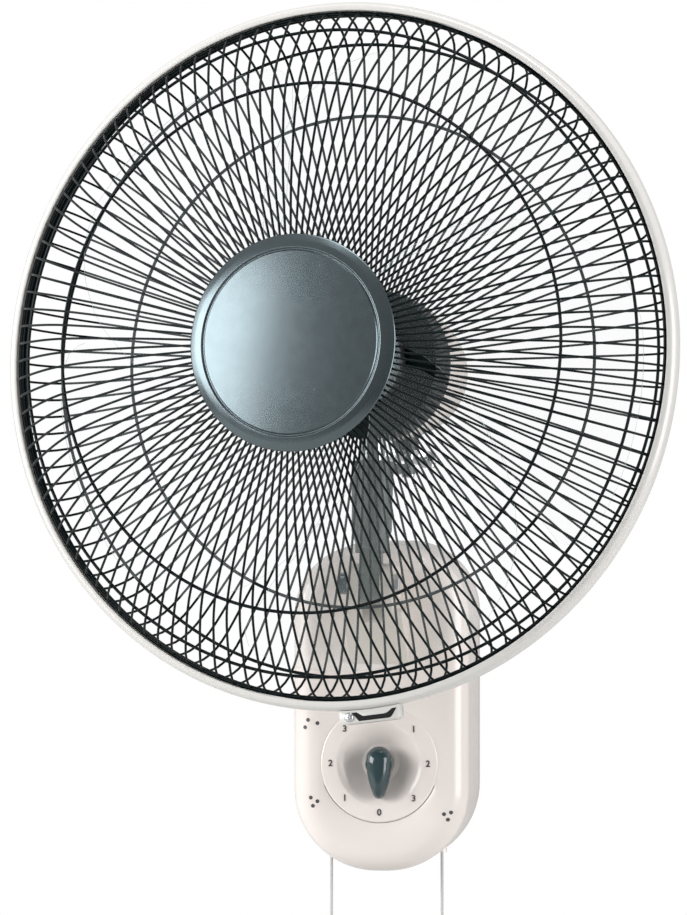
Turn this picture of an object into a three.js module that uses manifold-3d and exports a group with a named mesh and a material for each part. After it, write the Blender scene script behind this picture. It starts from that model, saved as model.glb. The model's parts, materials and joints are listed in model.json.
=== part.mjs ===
// A 400 mm wall mounted fan, built as an assembly of separate named pieces.
// Millimetres, +Z up, -Y towards the room. The origin is the middle of the wall plate's back face.
import * as THREE from 'three';
import Module from 'manifold-3d';
import { mergeVertices } from 'three/addons/utils/BufferGeometryUtils.js';

const wasm = await Module();
wasm.setup();

// ---------------------------------------------------------------- driving dimensions
const gap = 0.3; // running and seating clearance between pieces

// Base housing on the wall
const baseWidth = 113;
const baseHeight = 210;
const baseDepth = 88;
const baseBottomZ = -110;
const baseBottomRadius = 53;
const baseTopRadius = 45;
const baseEdgeRound = 15;
const shellWall = 2.5;
const backCoverDepth = 14;
const plateWidth = 84;
const plateHeight = 130;
const plateThickness = 2;
const keyholeRadius = 4.5;
const keyholeSpacing = 90;

// Speed dial
const dialRadius = 38;
const dialCentreZ = -40;
const dialLip = 3;
const dialThickness = 2;
const dialDish = 5;
const dialWellRadius = 16;
const dialWellDepth = 9;
const knobLength = 34;
const knobHeadRadius = 8.4;
const knobHeight = 13;
const knobHeadUp = 3; // the head's middle above the dial's middle
const knobUnderside = 2.6; // below the dial's face
const knobBossRadius = 9;
const knobTipRadius = 4.4;
const knobEdgeRound = 1.5;
const switchShaftRadius = 3;
const switchSize = 34;
const switchDepth = 24;
const switchNutRadius = 8;
const switchNutThickness = 3;

// Pull cords
const cordSpacing = 72;
const cordDepthY = -44;
const cordDiameter = 2;
const cordLength = 120;
const cordStep = 6;
const bushRadius = 3.2;
const bushLength = 18;
const bushMouthDrop = 1;
const pullSwitchWidth = 20;
const pullSwitchHeight = 26;
const pullSwitchTopZ = 2;
const pullBracketWidth = 12;
const pullBracketHeight = 8;
const plungerRadius = 1.2;
const bellRadius = 6;
const bellLength = 17;

// Forward arm with the tilt joint
const tiltY = -136;
const tiltZ = 78;
const armWidth = 28; // at the fork
const armRootWidth = 38;
const armShoulderDrop = 18; // below the tilt bolt
const armRootHeight = 62;
const armEndRadius = 13;
const tongueThickness = 13;
const tongueRadius = 12;
const tiltBoltRadius = 3;
const tiltHeadRadius = 6.5;
const tiltHeadThickness = 4;
const tiltNutRadius = 7;
const tiltNutThickness = 6;

// Neck and head placing
const restTilt = 7; // degrees the head looks up at rest
const restSwing = 14; // degrees the head looks to the viewer's left at rest
const headAxisHeight = 140; // fan axis above the tilt bolt
const neckTopDrop = 62; // the neck's top below the fan axis
const neckTopRadius = 13.5;
const neckMiddleRadius = 13;
const neckBottomRadius = 10.5;
const pivotPinRadius = 4;
const pivotPinDepth = 28; // down into the neck
const pivotPinRise = 17; // up into the head
const pivotBossRadius = 8;

// Motor
const motorRadius = 48;
const motorWall = 2;
const motorFront = 14;
const motorSplit = -12;
const motorBack = -92;
const motorBackRadius = 28;
const shaftRadius = 4;
const noseRadius = 17;
const noseLength = 10;
const statorOuterRadius = 38;
const rotorRadius = 20;
const airGap = 0.5;
const stackFront = -2;
const stackLength = 28;
const windingLength = 7;
const bearingRadius = 8;
const bracketThickness = 4;
const bracketRadius = 43;
const frameSkirtWall = 2.7; // round the stator core
const gearboxWidth = 34;
const gearboxHeight = 40;
const gearboxDrop = 8; // its middle below the fan axis

// Swing drive
const crankBehind = 62; // crank axis behind the swing pivot
const crankRadius = 15.3;
const crankDiscRadius = 19;
const crankDiscThickness = 4;
const crankPinRadius = 2.5;
const linkPostRadius = 24; // link post from the swing pivot
const linkPostMiddle = 25; // degrees behind the side, at mid swing
const linkWidth = 9;
const linkThickness = 3;
const swingHalf = 40; // degrees either way

// Guards, measured forward (+) or back (-) from the rim plane
const rimForward = 60; // rim plane in front of the swing pivot
const guardWires = 48; // in each guard
const hoopSegments = 40;
const hoopWire = 2;
const wireDiameter = 1.8;
const rimRadius = 225;
const rimBand = 5.7;
const rimDepth = 14;
const rimWall = 1.6;
const hoopInset = 7.5; // the rim hoops' middle from the rim's outside
const hoopSize = 3;
const capRadius = 68.5;
const capFaceRadius = 58.5;
const capThickness = 8;
const capSpigotDepth = 3;
const guardDepth = 84;
const collarRadius = 58;
const collarWidth = 5;
const rearCollarRadius = 48;
const rearDepth = 44.7;
const nutRadius = 28;
const nutThickness = 8;

// Blades
const bladeCount = 5;
const bladeTipGap = 18.5; // from the rim hoops' middle to the tips
const bladeRise = 15; // each side of the blade plane
const bladeThickness = 2;
const bladeHubRadius = 32;
const bladeHubDepth = 34;
const bladeHubWall = 3;
const bladeMiddle = 55; // blade plane in front of the swing pivot
const spinnerRadius = 17;
const spinnerLength = 14;

// ---------------------------------------------------------------- materials
function finish(color, roughness, metalness) {
  return new THREE.MeshStandardMaterial({ color, roughness, metalness });
}
const offWhite = [0xe9e2dc, 0.3, 0];
const darkGreen = [0x3d4f54, 0.35, 0.3];
const satinCap = [0x6f848c, 0.35, 0.6];
const wireBlack = [0x101c1e, 0.35, 0.3];
const greyGreen = [0x5a6661, 0.5, 0];
const darkMotor = [0x22262f, 0.5, 0];
const steel = [0xb4b7b9, 0.35, 1];
const clearBlade = [0xdff0ee, 0.08, 0];
const cordGrey = [0xcdcdcd, 0.7, 0];
const copper = [0xb4673a, 0.4, 0.8];
const brassTone = [0xc2a35a, 0.35, 1];
const blackPlastic = [0x1b1b1d, 0.5, 0];

// ---------------------------------------------------------------- geometry helpers
const degrees = Math.PI / 180;

function solidOf(geometry) {
  const bare = geometry.clone();
  bare.deleteAttribute('normal');
  bare.deleteAttribute('uv');
  const merged = mergeVertices(bare, 1e-4);
  const source = merged.index.array;
  const faces = [];
  for (let i = 0; i < source.length; i += 3) {
    const [a, b, c] = [source[i], source[i + 1], source[i + 2]];
    if (a !== b && b !== c && c !== a) faces.push(a, b, c);
  }
  return new wasm.Manifold(new wasm.Mesh({
    numProp: 3,
    vertProperties: new Float32Array(merged.attributes.position.array),
    triVerts: new Uint32Array(faces),
  }));
}

function geometryOf(solid) {
  const mesh = solid.getMesh();
  const geometry = new THREE.BufferGeometry();
  geometry.setAttribute('position', new THREE.BufferAttribute(mesh.vertProperties, 3));
  geometry.setIndex(new THREE.BufferAttribute(mesh.triVerts, 1));
  geometry.computeVertexNormals();
  return geometry;
}

function addPiece(parent, name, solid, look) {
  const mesh = new THREE.Mesh(geometryOf(solid), finish(...look));
  mesh.name = name;
  parent.add(mesh);
  return mesh;
}

function union(...solids) {
  return wasm.Manifold.union(solids);
}

// A profile of [radius, forward] turned about the fan axis, which runs along -Y.
function turned(profile, segments = 32) {
  const points = profile.map(([radius, forward]) => new THREE.Vector2(radius, -forward));
  if (THREE.ShapeUtils.area(points) < 0) points.reverse();
  const start = points.findIndex((p, i) => p.x === 0 && points.at(i - 1).x === 0);
  const ordered = start > 0 ? [...points.slice(start), ...points.slice(0, start)] : points;
  if (ordered[0].x > 0) ordered.push(ordered[0].clone());
  return solidOf(new THREE.LatheGeometry(ordered, segments));
}

// The same, about a vertical axis: [radius, height].
function turnedUp(profile, segments = 24) {
  return upright(turned(profile, segments));
}

// Turns a solid whose axis is -Y so that -Y becomes +Z.
function upright(solid) {
  return solid.rotate([-90, 0, 0]);
}

function box(width, depth, height, x, y, z) {
  const geometry = new THREE.BoxGeometry(width, depth, height);
  geometry.translate(x, y, z);
  return solidOf(geometry);
}

// An outline in x and z, from the plane y = back towards the room.
function slab(outline, back, depth, bevel = 0) {
  const geometry = new THREE.ExtrudeGeometry(outline, {
    depth: depth - 2 * bevel,
    bevelEnabled: bevel > 0,
    bevelThickness: bevel,
    bevelSize: bevel,
    bevelOffset: -bevel,
    bevelSegments: 2,
    curveSegments: 5,
  });
  geometry.translate(0, 0, bevel);
  geometry.rotateX(Math.PI / 2);
  geometry.translate(0, back, 0);
  return solidOf(geometry);
}

// A round bar along x.
function barAlongX(radius, from, to, y, z, segments = 20) {
  return turned([[0, from], [0, to], [radius, to], [radius, from]], segments)
    .rotate([0, 0, 90])
    .translate([0, y, z]);
}

function baseOutline(inset) {
  const half = baseWidth / 2 - inset;
  const low = baseBottomZ + inset;
  const high = baseBottomZ + baseHeight - inset;
  const foot = baseBottomRadius - inset;
  const crown = baseTopRadius - inset;
  const outline = new THREE.Shape();
  outline.moveTo(-half + foot, low);
  outline.lineTo(half - foot, low);
  outline.absarc(half - foot, low + foot, foot, -Math.PI / 2, 0, false);
  outline.absarc(half - crown, high - crown, crown, 0, Math.PI / 2, false);
  outline.absarc(-half + crown, high - crown, crown, Math.PI / 2, Math.PI, false);
  outline.absarc(-half + foot, low + foot, foot, Math.PI, Math.PI * 1.5, false);
  return outline;
}

// ---------------------------------------------------------------- base housing
const fan = new THREE.Group();
const coverBack = -plateThickness - gap;
const shellBack = coverBack - backCoverDepth - gap;
const frontInside = -baseDepth + shellWall;
const middleZ = baseBottomZ + baseHeight / 2;

function wallPlate() {
  let plate = box(plateWidth, plateThickness, plateHeight, 0, -plateThickness / 2, 0);
  for (const side of [-1, 1]) {
    const hole = turned([[0, -1], [0, 4], [keyholeRadius, 4], [keyholeRadius, -1]], 16);
    plate = plate.subtract(hole.translate([0, 0, side * keyholeSpacing / 2]));
  }
  return plate;
}

const baseScrewX = baseWidth / 2 - 14;
const baseScrewZ = middleZ + 40;
const baseScrewRadius = 2;
const baseScrewHead = 4;
const baseScrewHeadThickness = 2;
const screwPocketDepth = 8;
const screwPocketWall = 2;
const screwEnd = -34;
const screwPostRadius = 4.5;

function backCover() {
  const outer = slab(baseOutline(0), coverBack, backCoverDepth);
  const inner = slab(baseOutline(shellWall), coverBack - shellWall, backCoverDepth);
  let cover = outer.subtract(inner);
  for (const side of [-1, 1]) {
    const back = -coverBack;
    const front = back + backCoverDepth;
    const pocket = baseScrewHead + gap;
    const outside = pocket + screwPocketWall;
    const boss = turned([[0, back + 1], [0, front], [outside, front], [outside, back + 1]], 16);
    const floor = back + screwPocketDepth;
    const radius = baseScrewRadius + gap;
    const hole = turned([
      [0, 0], [0, 30], [radius, 30], [radius, floor], [pocket, floor], [pocket, 0],
    ], 16);
    const [x, z] = [side * baseScrewX, baseScrewZ];
    cover = cover.add(boss.translate([x, 0, z])).subtract(hole.translate([x, 0, z]));
  }
  return cover;
}

function frontShell() {
  const cut = -shellBack;
  const outer = slab(baseOutline(0), 0, baseDepth, baseEdgeRound);
  const hollow = slab(baseOutline(shellWall), 10, baseDepth - shellWall + 10, baseEdgeRound - shellWall);
  let shell = outer.subtract(box(300, 2 * cut, 400, 0, 0, 0)).subtract(hollow);
  for (const side of [-1, 1]) {
    const end = -frontInside + gap;
    const post = turned([[0, cut], [0, end], [screwPostRadius, end], [screwPostRadius, cut]], 12);
    shell = shell.add(post.translate([side * baseScrewX, 0, baseScrewZ]));
    const radius = baseScrewRadius + gap;
    const depth = -screwEnd + gap;
    const hole = turned([[0, 0], [0, depth], [radius, depth], [radius, 0]], 12);
    shell = shell.subtract(hole.translate([side * baseScrewX, 0, baseScrewZ]));
    const radiusBush = bushRadius + gap;
    const way = turnedUp([[0, 0], [0, 40], [radiusBush, 40], [radiusBush, 0]], 16);
    shell = shell.subtract(way.translate([side * cordSpacing / 2, cordDepthY, baseBottomZ - 10]));
  }
  const dialHole = turned([[0, 60], [0, 120], [dialRadius + gap, 120], [dialRadius + gap, 60]], 32);
  return shell.subtract(dialHole.translate([0, 0, dialCentreZ]));
}

function baseScrew(side) {
  const under = -coverBack + screwPocketDepth - gap;
  const top = under - baseScrewHeadThickness;
  const profile = [
    [0, top], [0, -screwEnd], [baseScrewRadius, -screwEnd], [baseScrewRadius, under],
    [baseScrewHead, under], [baseScrewHead, top],
  ];
  return turned(profile, 12).translate([side * baseScrewX, 0, baseScrewZ]);
}

addPiece(fan, 'wall_plate', wallPlate(), steel);
addPiece(fan, 'base_back_cover', backCover(), offWhite);
addPiece(fan, 'base_front_shell', frontShell(), offWhite);
addPiece(fan, 'base_screw_left', baseScrew(-1), steel);
addPiece(fan, 'base_screw_right', baseScrew(1), steel);

// ---------------------------------------------------------------- speed dial
const wellFloor = baseDepth - dialWellDepth;
const dialFace = baseDepth + 0.5;

function dialPlate() {
  const face = dialFace;
  const back = -frontInside - gap;
  const hole = switchShaftRadius + 1.5;
  return turned([
    [dialRadius, back], [dialRadius, face - 1], [dialRadius - 1, face], [dialRadius - 6, face],
    [dialWellRadius + 2, face - dialDish], [dialWellRadius, wellFloor], [hole, wellFloor],
    [hole, wellFloor - dialThickness], [dialWellRadius + 1, wellFloor - dialThickness],
    [dialWellRadius + 3, face - dialDish - dialThickness - 1], [dialRadius - 6, face - 4],
    [dialRadius - 5, back - dialThickness],
    [dialRadius + dialLip, back - dialThickness], [dialRadius + dialLip, back],
  ], 32).translate([0, 0, dialCentreZ]);
}

function knobOutline() {
  const length = knobLength - knobHeadRadius - knobTipRadius;
  const lean = Math.asin((knobHeadRadius - knobTipRadius) / length);
  const outline = new THREE.Shape();
  outline.absarc(0, knobHeadUp, knobHeadRadius, -lean, Math.PI + lean, false);
  outline.absarc(0, knobHeadUp - length, knobTipRadius, Math.PI + lean, 2 * Math.PI - lean, false);
  outline.closePath();
  return outline;
}

const knobBottom = dialFace - knobUnderside;

function speedKnob() {
  const pointer = slab(knobOutline(), -knobBottom, knobHeight, knobEdgeRound);
  const low = wellFloor + gap;
  const high = knobBottom + knobHeight / 2;
  const boss = turned([[0, low], [0, high], [knobBossRadius, high], [knobBossRadius, low]], 24);
  const socket = switchShaftRadius + gap;
  const bore = turned([[0, 0], [0, high], [socket, high], [socket, 0]], 20);
  return union(pointer, boss).subtract(bore).translate([0, 0, dialCentreZ]);
}

const switchFront = wellFloor - dialThickness - gap - switchNutThickness - gap;

function rotarySwitch() {
  const block = box(switchSize, switchDepth, switchSize, 0, -switchFront + switchDepth / 2, 0);
  const radius = switchShaftRadius + gap;
  const bore = turned([[0, switchFront - 14], [0, 120], [radius, 120], [radius, switchFront - 14]], 20);
  return block.subtract(bore).translate([0, 0, dialCentreZ]);
}

function switchNut() {
  const low = switchFront + gap;
  const hole = switchShaftRadius + 0.8;
  const high = low + switchNutThickness;
  return turned([[hole, low], [hole, high], [switchNutRadius, high], [switchNutRadius, low]], 6)
    .translate([0, 0, dialCentreZ]);
}

function switchShaft() {
  const low = switchFront - 13;
  const high = knobBottom + knobHeight / 2 - gap;
  return turned([[0, low], [0, high], [switchShaftRadius, high], [switchShaftRadius, low]], 20)
    .translate([0, 0, dialCentreZ]);
}

addPiece(fan, 'dial_plate', dialPlate(), offWhite);
addPiece(fan, 'rotary_switch', rotarySwitch(), blackPlastic);
addPiece(fan, 'switch_nut', switchNut(), steel);
addPiece(fan, 'speed_knob', speedKnob(), darkGreen);
addPiece(fan, 'switch_shaft', switchShaft(), steel);

// ---------------------------------------------------------------- pull cords
function cordPlace(side) {
  return side * cordSpacing / 2;
}

const footCentreX = baseWidth / 2 - baseBottomRadius;
const cordOffset = cordSpacing / 2 - footCentreX;
const shellBottomAtCord =
  baseBottomZ + baseBottomRadius - Math.sqrt(baseBottomRadius ** 2 - cordOffset ** 2);
const bushMouthZ = shellBottomAtCord - bushMouthDrop;
const bushTopZ = bushMouthZ + bushLength;
const cordTopZ = bushMouthZ;
const cordEndZ = cordTopZ - cordLength;

// Each pull cord hangs straight down from the mouth of its bush.
function cordRoute(side) {
  const x = cordPlace(side);
  return [
    [x, cordDepthY, cordTopZ],
    [x, cordDepthY, cordEndZ],
  ];
}

function pullCord(side) {
  const [top, end] = cordRoute(side).map((p) => new THREE.Vector3(...p));
  const section = new THREE.Shape();
  section.absarc(0, 0, cordDiameter / 2, 0, 2 * Math.PI, false);
  return solidOf(new THREE.ExtrudeGeometry(section, {
    steps: Math.round(cordLength / cordStep),
    extrudePath: new THREE.LineCurve3(top, end),
    curveSegments: 4,
    bevelEnabled: false,
  }));
}

function cordBush(side) {
  const inner = cordDiameter / 2 + gap;
  const flange = bushRadius + 2;
  const seat = shellBottomAtCord + 10;
  return turnedUp([
    [inner, bushMouthZ], [bushRadius, bushMouthZ], [bushRadius, seat],
    [flange, seat], [flange, seat + 2], [bushRadius, seat + 2], [bushRadius, bushTopZ],
    [inner, bushTopZ],
  ], 16).translate([cordPlace(side), cordDepthY, 0]);
}

const pullSwitchBottom = pullSwitchTopZ - pullSwitchHeight;

function pullSwitch(side) {
  const block = box(
    pullSwitchWidth, pullSwitchWidth, pullSwitchHeight,
    cordPlace(side), cordDepthY, pullSwitchTopZ - pullSwitchHeight / 2,
  );
  const wall = coverBack - shellWall - gap;
  const front = cordDepthY + pullSwitchWidth / 2 - 1;
  const bracket = box(
    pullBracketWidth, wall - front, pullBracketHeight,
    cordPlace(side), (wall + front) / 2, pullSwitchTopZ - pullBracketHeight / 2,
  );
  const radius = plungerRadius + gap;
  const bore = turnedUp([
    [0, pullSwitchBottom - 5], [0, pullSwitchTopZ - 4], [radius, pullSwitchTopZ - 4],
    [radius, pullSwitchBottom - 5],
  ], 12);
  return union(block, bracket).subtract(bore.translate([cordPlace(side), cordDepthY, 0]));
}

function pullPlunger(side) {
  const low = cordTopZ + gap;
  const high = pullSwitchTopZ - 5;
  return turnedUp([[0, low], [0, high], [plungerRadius, high], [plungerRadius, low]], 12)
    .translate([cordPlace(side), cordDepthY, 0]);
}

function pullBell(side) {
  const top = cordEndZ - gap;
  const low = top - bellLength;
  return turnedUp([
    [0, top], [0, low], [bellRadius - 1.5, low], [bellRadius, low + 1.5],
    [bellRadius * 0.9, low + bellLength * 0.35], [bellRadius * 0.5, top - 2], [bellRadius * 0.35, top],
  ], 20).translate([cordPlace(side), cordDepthY, 0]);
}

for (const [name, side] of [['speed', -1], ['swing', 1]]) {
  addPiece(fan, `${name}_pull_switch`, pullSwitch(side), blackPlastic);
  addPiece(fan, `${name}_cord_bush`, cordBush(side), offWhite);
  addPiece(fan, `${name}_pull_slider`, pullPlunger(side), cordGrey);
  addPiece(fan, `${name}_pull_cord`, pullCord(side), cordGrey);
  addPiece(fan, `${name}_pull_bell`, pullBell(side), offWhite);
}

// ---------------------------------------------------------------- electrics in the base
const terminalSize = [40, 20, 14];
const capacitorSize = [38, 20, 26];

function insideBack(size, x, z) {
  const [width, depth, height] = size;
  const y = coverBack - shellWall - gap - depth / 2;
  return box(width, depth, height, x, y, z);
}

addPiece(fan, 'terminal_block', insideBack(terminalSize, 0, 12), offWhite);
addPiece(fan, 'capacitor', insideBack(capacitorSize, 0, 48), blackPlastic);

// ---------------------------------------------------------------- forward arm and tilt joint
function armProfile() {
  const root = -baseDepth - gap;
  const top = tiltZ + 8;
  const outline = new THREE.Shape();
  outline.moveTo(root, top - armRootHeight);
  outline.lineTo(root, top);
  outline.lineTo(tiltY, tiltZ + armEndRadius);
  outline.absarc(tiltY, tiltZ, armEndRadius, Math.PI / 2, Math.PI * 1.35, false);
  outline.lineTo(root - 16, top - armRootHeight + 14);
  outline.closePath();
  return outline;
}

// The profile is drawn in y and z, so it is extruded along x.
function alongX(outline, from, to) {
  const geometry = new THREE.ExtrudeGeometry(outline, {
    depth: to - from,
    bevelEnabled: false,
    curveSegments: 16,
  });
  geometry.rotateY(Math.PI / 2);
  geometry.rotateX(Math.PI / 2);
  geometry.translate(from, 0, 0);
  return solidOf(geometry);
}

function neckSocket() {
  const profile = armProfile();
  const wide = alongX(profile, -armRootWidth / 2, armRootWidth / 2);
  const shoulder = tiltZ - armShoulderDrop;
  const root = wide.subtract(box(2 * armRootWidth, 300, 100, 0, tiltY, shoulder + 50));
  const arm = union(root, alongX(profile, -armWidth / 2, armWidth / 2));
  const slotWidth = tongueThickness + 2 * gap;
  const slotBack = tiltY + tongueRadius + 1.2;
  const slot = box(slotWidth, 60, 80, 0, slotBack - 30, tiltZ);
  const hole = barAlongX(tiltBoltRadius + gap, -40, 40, tiltY, tiltZ);
  return arm.subtract(slot).subtract(hole);
}

function tiltBolt() {
  const end = armWidth / 2 + gap;
  const head = barAlongX(tiltHeadRadius, end, end + tiltHeadThickness, tiltY, tiltZ, 6);
  const shank = barAlongX(tiltBoltRadius, -end - tiltNutThickness + 1, end + 1, tiltY, tiltZ);
  return union(head, shank);
}

function tiltNut() {
  const start = -armWidth / 2 - gap;
  const body = barAlongX(tiltNutRadius, start - tiltNutThickness, start, tiltY, tiltZ, 12);
  const hole = barAlongX(tiltBoltRadius + gap, start - 20, start + 1, tiltY, tiltZ);
  return body.subtract(hole);
}

addPiece(fan, 'neck_socket', neckSocket(), offWhite);
addPiece(fan, 'tilt_bolt', tiltBolt(), steel);
addPiece(fan, 'tilt_nut', tiltNut(), darkGreen);

// ---------------------------------------------------------------- neck, which tilts
const neck = new THREE.Group();
neck.position.set(0, tiltY, tiltZ);
neck.rotation.x = -restTilt * degrees;
fan.add(neck);

const neckTopHeight = headAxisHeight - neckTopDrop;
const pivotPinFoot = neckTopHeight - pivotPinDepth;
const pivotPinTop = neckTopHeight + pivotPinRise;
const linkBottom = neckTopHeight + 2.3;
const postAngle = -(linkPostMiddle) * degrees;
// The post's place in the neck's frame: to the side and a little behind at mid swing.
const linkPost = [linkPostRadius * Math.cos(postAngle), -linkPostRadius * Math.sin(postAngle)];

function neckPost() {
  const tongue = barAlongX(tongueRadius, -tongueThickness / 2, tongueThickness / 2, 0, 0, 32);
  const half = tongueThickness / 2;
  const stem = box(tongueThickness, 2 * neckBottomRadius, 20, 0, 0, 12);
  const column = turnedUp([
    [0, 20], [0, neckTopHeight], [neckTopRadius, neckTopHeight], [neckTopRadius, neckTopHeight - 10],
    [neckMiddleRadius, neckTopHeight - 28], [neckMiddleRadius, 34], [neckBottomRadius, 26],
    [neckBottomRadius, 20],
  ]);
  const [x, y] = linkPost;
  const ear = box(linkPostRadius, linkWidth, 6, linkPostRadius / 2, 0, neckTopHeight - 4);
  const end = turnedUp([[0, -3], [0, 3], [linkWidth / 2, 3], [linkWidth / 2, -3]], 16);
  const turn = Math.atan2(y, x) / degrees;
  const lug = union(ear.rotate([0, 0, turn]), end.translate([x, y, neckTopHeight - 4]));
  const bolt = barAlongX(tiltBoltRadius + gap, -half - 1, half + 1, 0, 0);
  const pinHole = turnedUp([
    [0, pivotPinFoot], [0, neckTopHeight + 1], [pivotPinRadius + gap, neckTopHeight + 1],
    [pivotPinRadius + gap, pivotPinFoot],
  ]);
  const radius = crankPinRadius + gap;
  const [low, high] = [neckTopHeight - 18, neckTopHeight + 12];
  const postHole = turnedUp([[0, low], [0, high], [radius, high], [radius, low]], 12)
    .translate([x, y, 0]);
  return union(tongue, stem, column, lug).subtract(bolt).subtract(pinHole).subtract(postHole);
}

function pivotPin() {
  return turnedUp([
    [0, pivotPinFoot + gap], [0, pivotPinTop], [pivotPinRadius, pivotPinTop],
    [pivotPinRadius, pivotPinFoot + gap],
  ]);
}

function linkPostPin() {
  const low = neckTopHeight - 9;
  const high = linkBottom - gap;
  const flange = crankPinRadius + 1.5;
  const under = neckTopHeight - 7 - gap;
  return turnedUp([
    [0, low], [0, high], [crankPinRadius, high], [crankPinRadius, under], [flange, under], [flange, low],
  ], 12).translate([linkPost[0], linkPost[1], 0]);
}

addPiece(neck, 'neck_post', neckPost(), greyGreen);
addPiece(neck, 'swing_pivot_pin', pivotPin(), steel);
addPiece(neck, 'link_post', linkPostPin(), steel);

// ---------------------------------------------------------------- head, which swings
const head = new THREE.Group();
head.rotation.z = -restSwing * degrees;
neck.add(head);
const headAxis = new THREE.Group();
headAxis.position.z = headAxisHeight;
head.add(headAxis);
const bossBottom = neckTopHeight + gap;

// The cover's outside, as [radius, forward] from the split to the closed back.
const rearCoverOutside = [
  [motorRadius, motorSplit - gap], [motorRadius - 3, -40], [motorRadius - 8, -66],
  [motorBackRadius + 5, motorBack + 8], [motorBackRadius - 6, motorBack],
];

// A round hole from below, through a piece in the fan axis frame.
function holeFromBelow(radius, behind, top = -20) {
  return turnedUp([[0, -80], [0, top], [radius, top], [radius, -80]], 20).translate([0, behind, 0]);
}

function frontCover() {
  const inner = motorRadius - motorWall;
  const nose = motorFront + noseLength;
  const hole = bearingRadius + 2;
  const cover = turned([
    [motorRadius, motorSplit], [motorRadius, motorFront - 4], [motorRadius - 4, motorFront],
    [noseRadius, motorFront], [noseRadius, nose], [hole, nose], [hole, motorFront - motorWall],
    [inner - 3, motorFront - motorWall], [inner, motorFront - motorWall - 3], [inner, motorSplit],
  ], 28);
  return cover.subtract(holeFromBelow(pivotBossRadius + 1, 0));
}

function rearCover() {
  const inside = rearCoverOutside.map(([radius, forward]) => [radius - motorWall, forward]);
  inside[inside.length - 1][1] += motorWall;
  const last = rearCoverOutside.at(-1);
  const cover = turned([
    ...rearCoverOutside, [0, last[1]], [0, last[1] + motorWall], ...inside.reverse(),
  ], 28);
  const crankHole = holeFromBelow(crankBossRadius + 1, crankBehind);
  return cover.subtract(crankHole).subtract(holeFromBelow(pivotBossRadius + 1, 0));
}

const crankBossRadius = 8;
const bracketFront = motorFront - motorWall - gap;
const rearBracket = stackFront - stackLength - windingLength - 3;
const seatRadius = bearingRadius + gap;
const skirtInside = statorOuterRadius + gap;
const skirtOutside = skirtInside + frameSkirtWall;

function motorFrame() {
  const low = bracketFront - bracketThickness;
  const plate = turned([
    [seatRadius, low], [seatRadius, bracketFront], [bracketRadius, bracketFront], [bracketRadius, low],
  ], 28);
  const skirt = turned([
    [skirtInside, rearBracket + gap], [skirtInside, low + 1], [skirtOutside, low + 1],
    [skirtOutside, rearBracket + gap],
  ], 28);
  const height = headAxisHeight - bossBottom;
  const boss = turnedUp([
    [0, -height], [0, -bracketRadius + 4], [pivotBossRadius, -bracketRadius + 4],
    [pivotBossRadius, -height],
  ]);
  const radius = pivotPinRadius + gap;
  const top = pivotPinTop + gap - headAxisHeight;
  const bore = turnedUp([[0, -height - 1], [0, top], [radius, top], [radius, -height - 1]]);
  return union(plate, skirt, boss).subtract(bore);
}

function bearing(forward) {
  const low = forward - bracketThickness;
  const high = forward + 1;
  const inner = shaftRadius + gap;
  return turned([[inner, low], [inner, high], [bearingRadius, high], [bearingRadius, low]], 24);
}

function rearBracketPlate() {
  const low = rearBracket - bracketThickness;
  return turned([
    [seatRadius, low], [seatRadius, rearBracket], [skirtOutside, rearBracket], [skirtOutside, low],
  ], 28);
}

const stackBack = stackFront - stackLength;
const boreRadius = rotorRadius + airGap;

function statorCore() {
  return turned([
    [boreRadius, stackBack], [boreRadius, stackFront], [statorOuterRadius, stackFront],
    [statorOuterRadius, stackBack],
  ], 28);
}

function winding(low, high) {
  const inner = boreRadius + 2;
  const outer = statorOuterRadius - 5;
  const middle = (inner + outer) / 2;
  return turned([
    [inner, low + 2], [inner, high - 2], [middle, high], [outer, high - 2], [outer, low + 2],
    [middle, low],
  ], 24);
}

const gearboxFront = rearBracket - bracketThickness - gap;
const gearboxBack = -crankBehind - 12;
const wormEnd = -crankBehind - 6;

function gearbox() {
  const depth = gearboxFront - gearboxBack;
  const y = -(gearboxFront + gearboxBack) / 2;
  const block = box(gearboxWidth, depth, gearboxHeight, 0, y, -gearboxDrop);
  const low = -headAxisHeight + crankDiscTop + gap;
  const boss = turnedUp([
    [0, low], [0, -gearboxHeight / 2], [crankBossRadius, -gearboxHeight / 2], [crankBossRadius, low],
  ]).translate([0, crankBehind, 0]);
  const radius = crankShaftRadius + gap;
  const bore = turnedUp([[0, low - 1], [0, -14], [radius, -14], [radius, low - 1]])
    .translate([0, crankBehind, 0]);
  const way = shaftRadius + 1;
  const shaftWay = turned([[0, wormEnd - 1], [0, 0], [way, 0], [way, wormEnd - 1]], 24);
  return union(block, boss).subtract(bore).subtract(shaftWay);
}

const crankShaftRadius = 4;
const linkTop = linkBottom + linkThickness;
const crankDiscLow = linkTop + 2;
const crankDiscTop = crankDiscLow + crankDiscThickness;

addPiece(headAxis, 'motor_front_cover', frontCover(), darkMotor);
addPiece(headAxis, 'motor_rear_cover', rearCover(), offWhite);
addPiece(headAxis, 'motor_frame', motorFrame(), steel);
addPiece(headAxis, 'rear_bracket', rearBracketPlate(), steel);
addPiece(headAxis, 'front_bearing', bearing(bracketFront), brassTone);
addPiece(headAxis, 'rear_bearing', bearing(rearBracket), brassTone);
addPiece(headAxis, 'stator_core', statorCore(), steel);
addPiece(headAxis, 'stator_winding_front', winding(stackFront + gap, stackFront + windingLength), copper);
addPiece(headAxis, 'stator_winding_rear', winding(stackBack - windingLength, stackBack - gap), copper);
addPiece(headAxis, 'gearbox', gearbox(), blackPlastic);

// ---------------------------------------------------------------- guards
const hoopRadius = rimRadius - hoopInset;
const frontHoopInner = hoopRadius * 0.768;
const frontHoopOuter = hoopRadius * 0.9425;
const rearHoopInner = hoopRadius * 0.722;
const rearHoopOuter = hoopRadius * 0.929;

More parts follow.
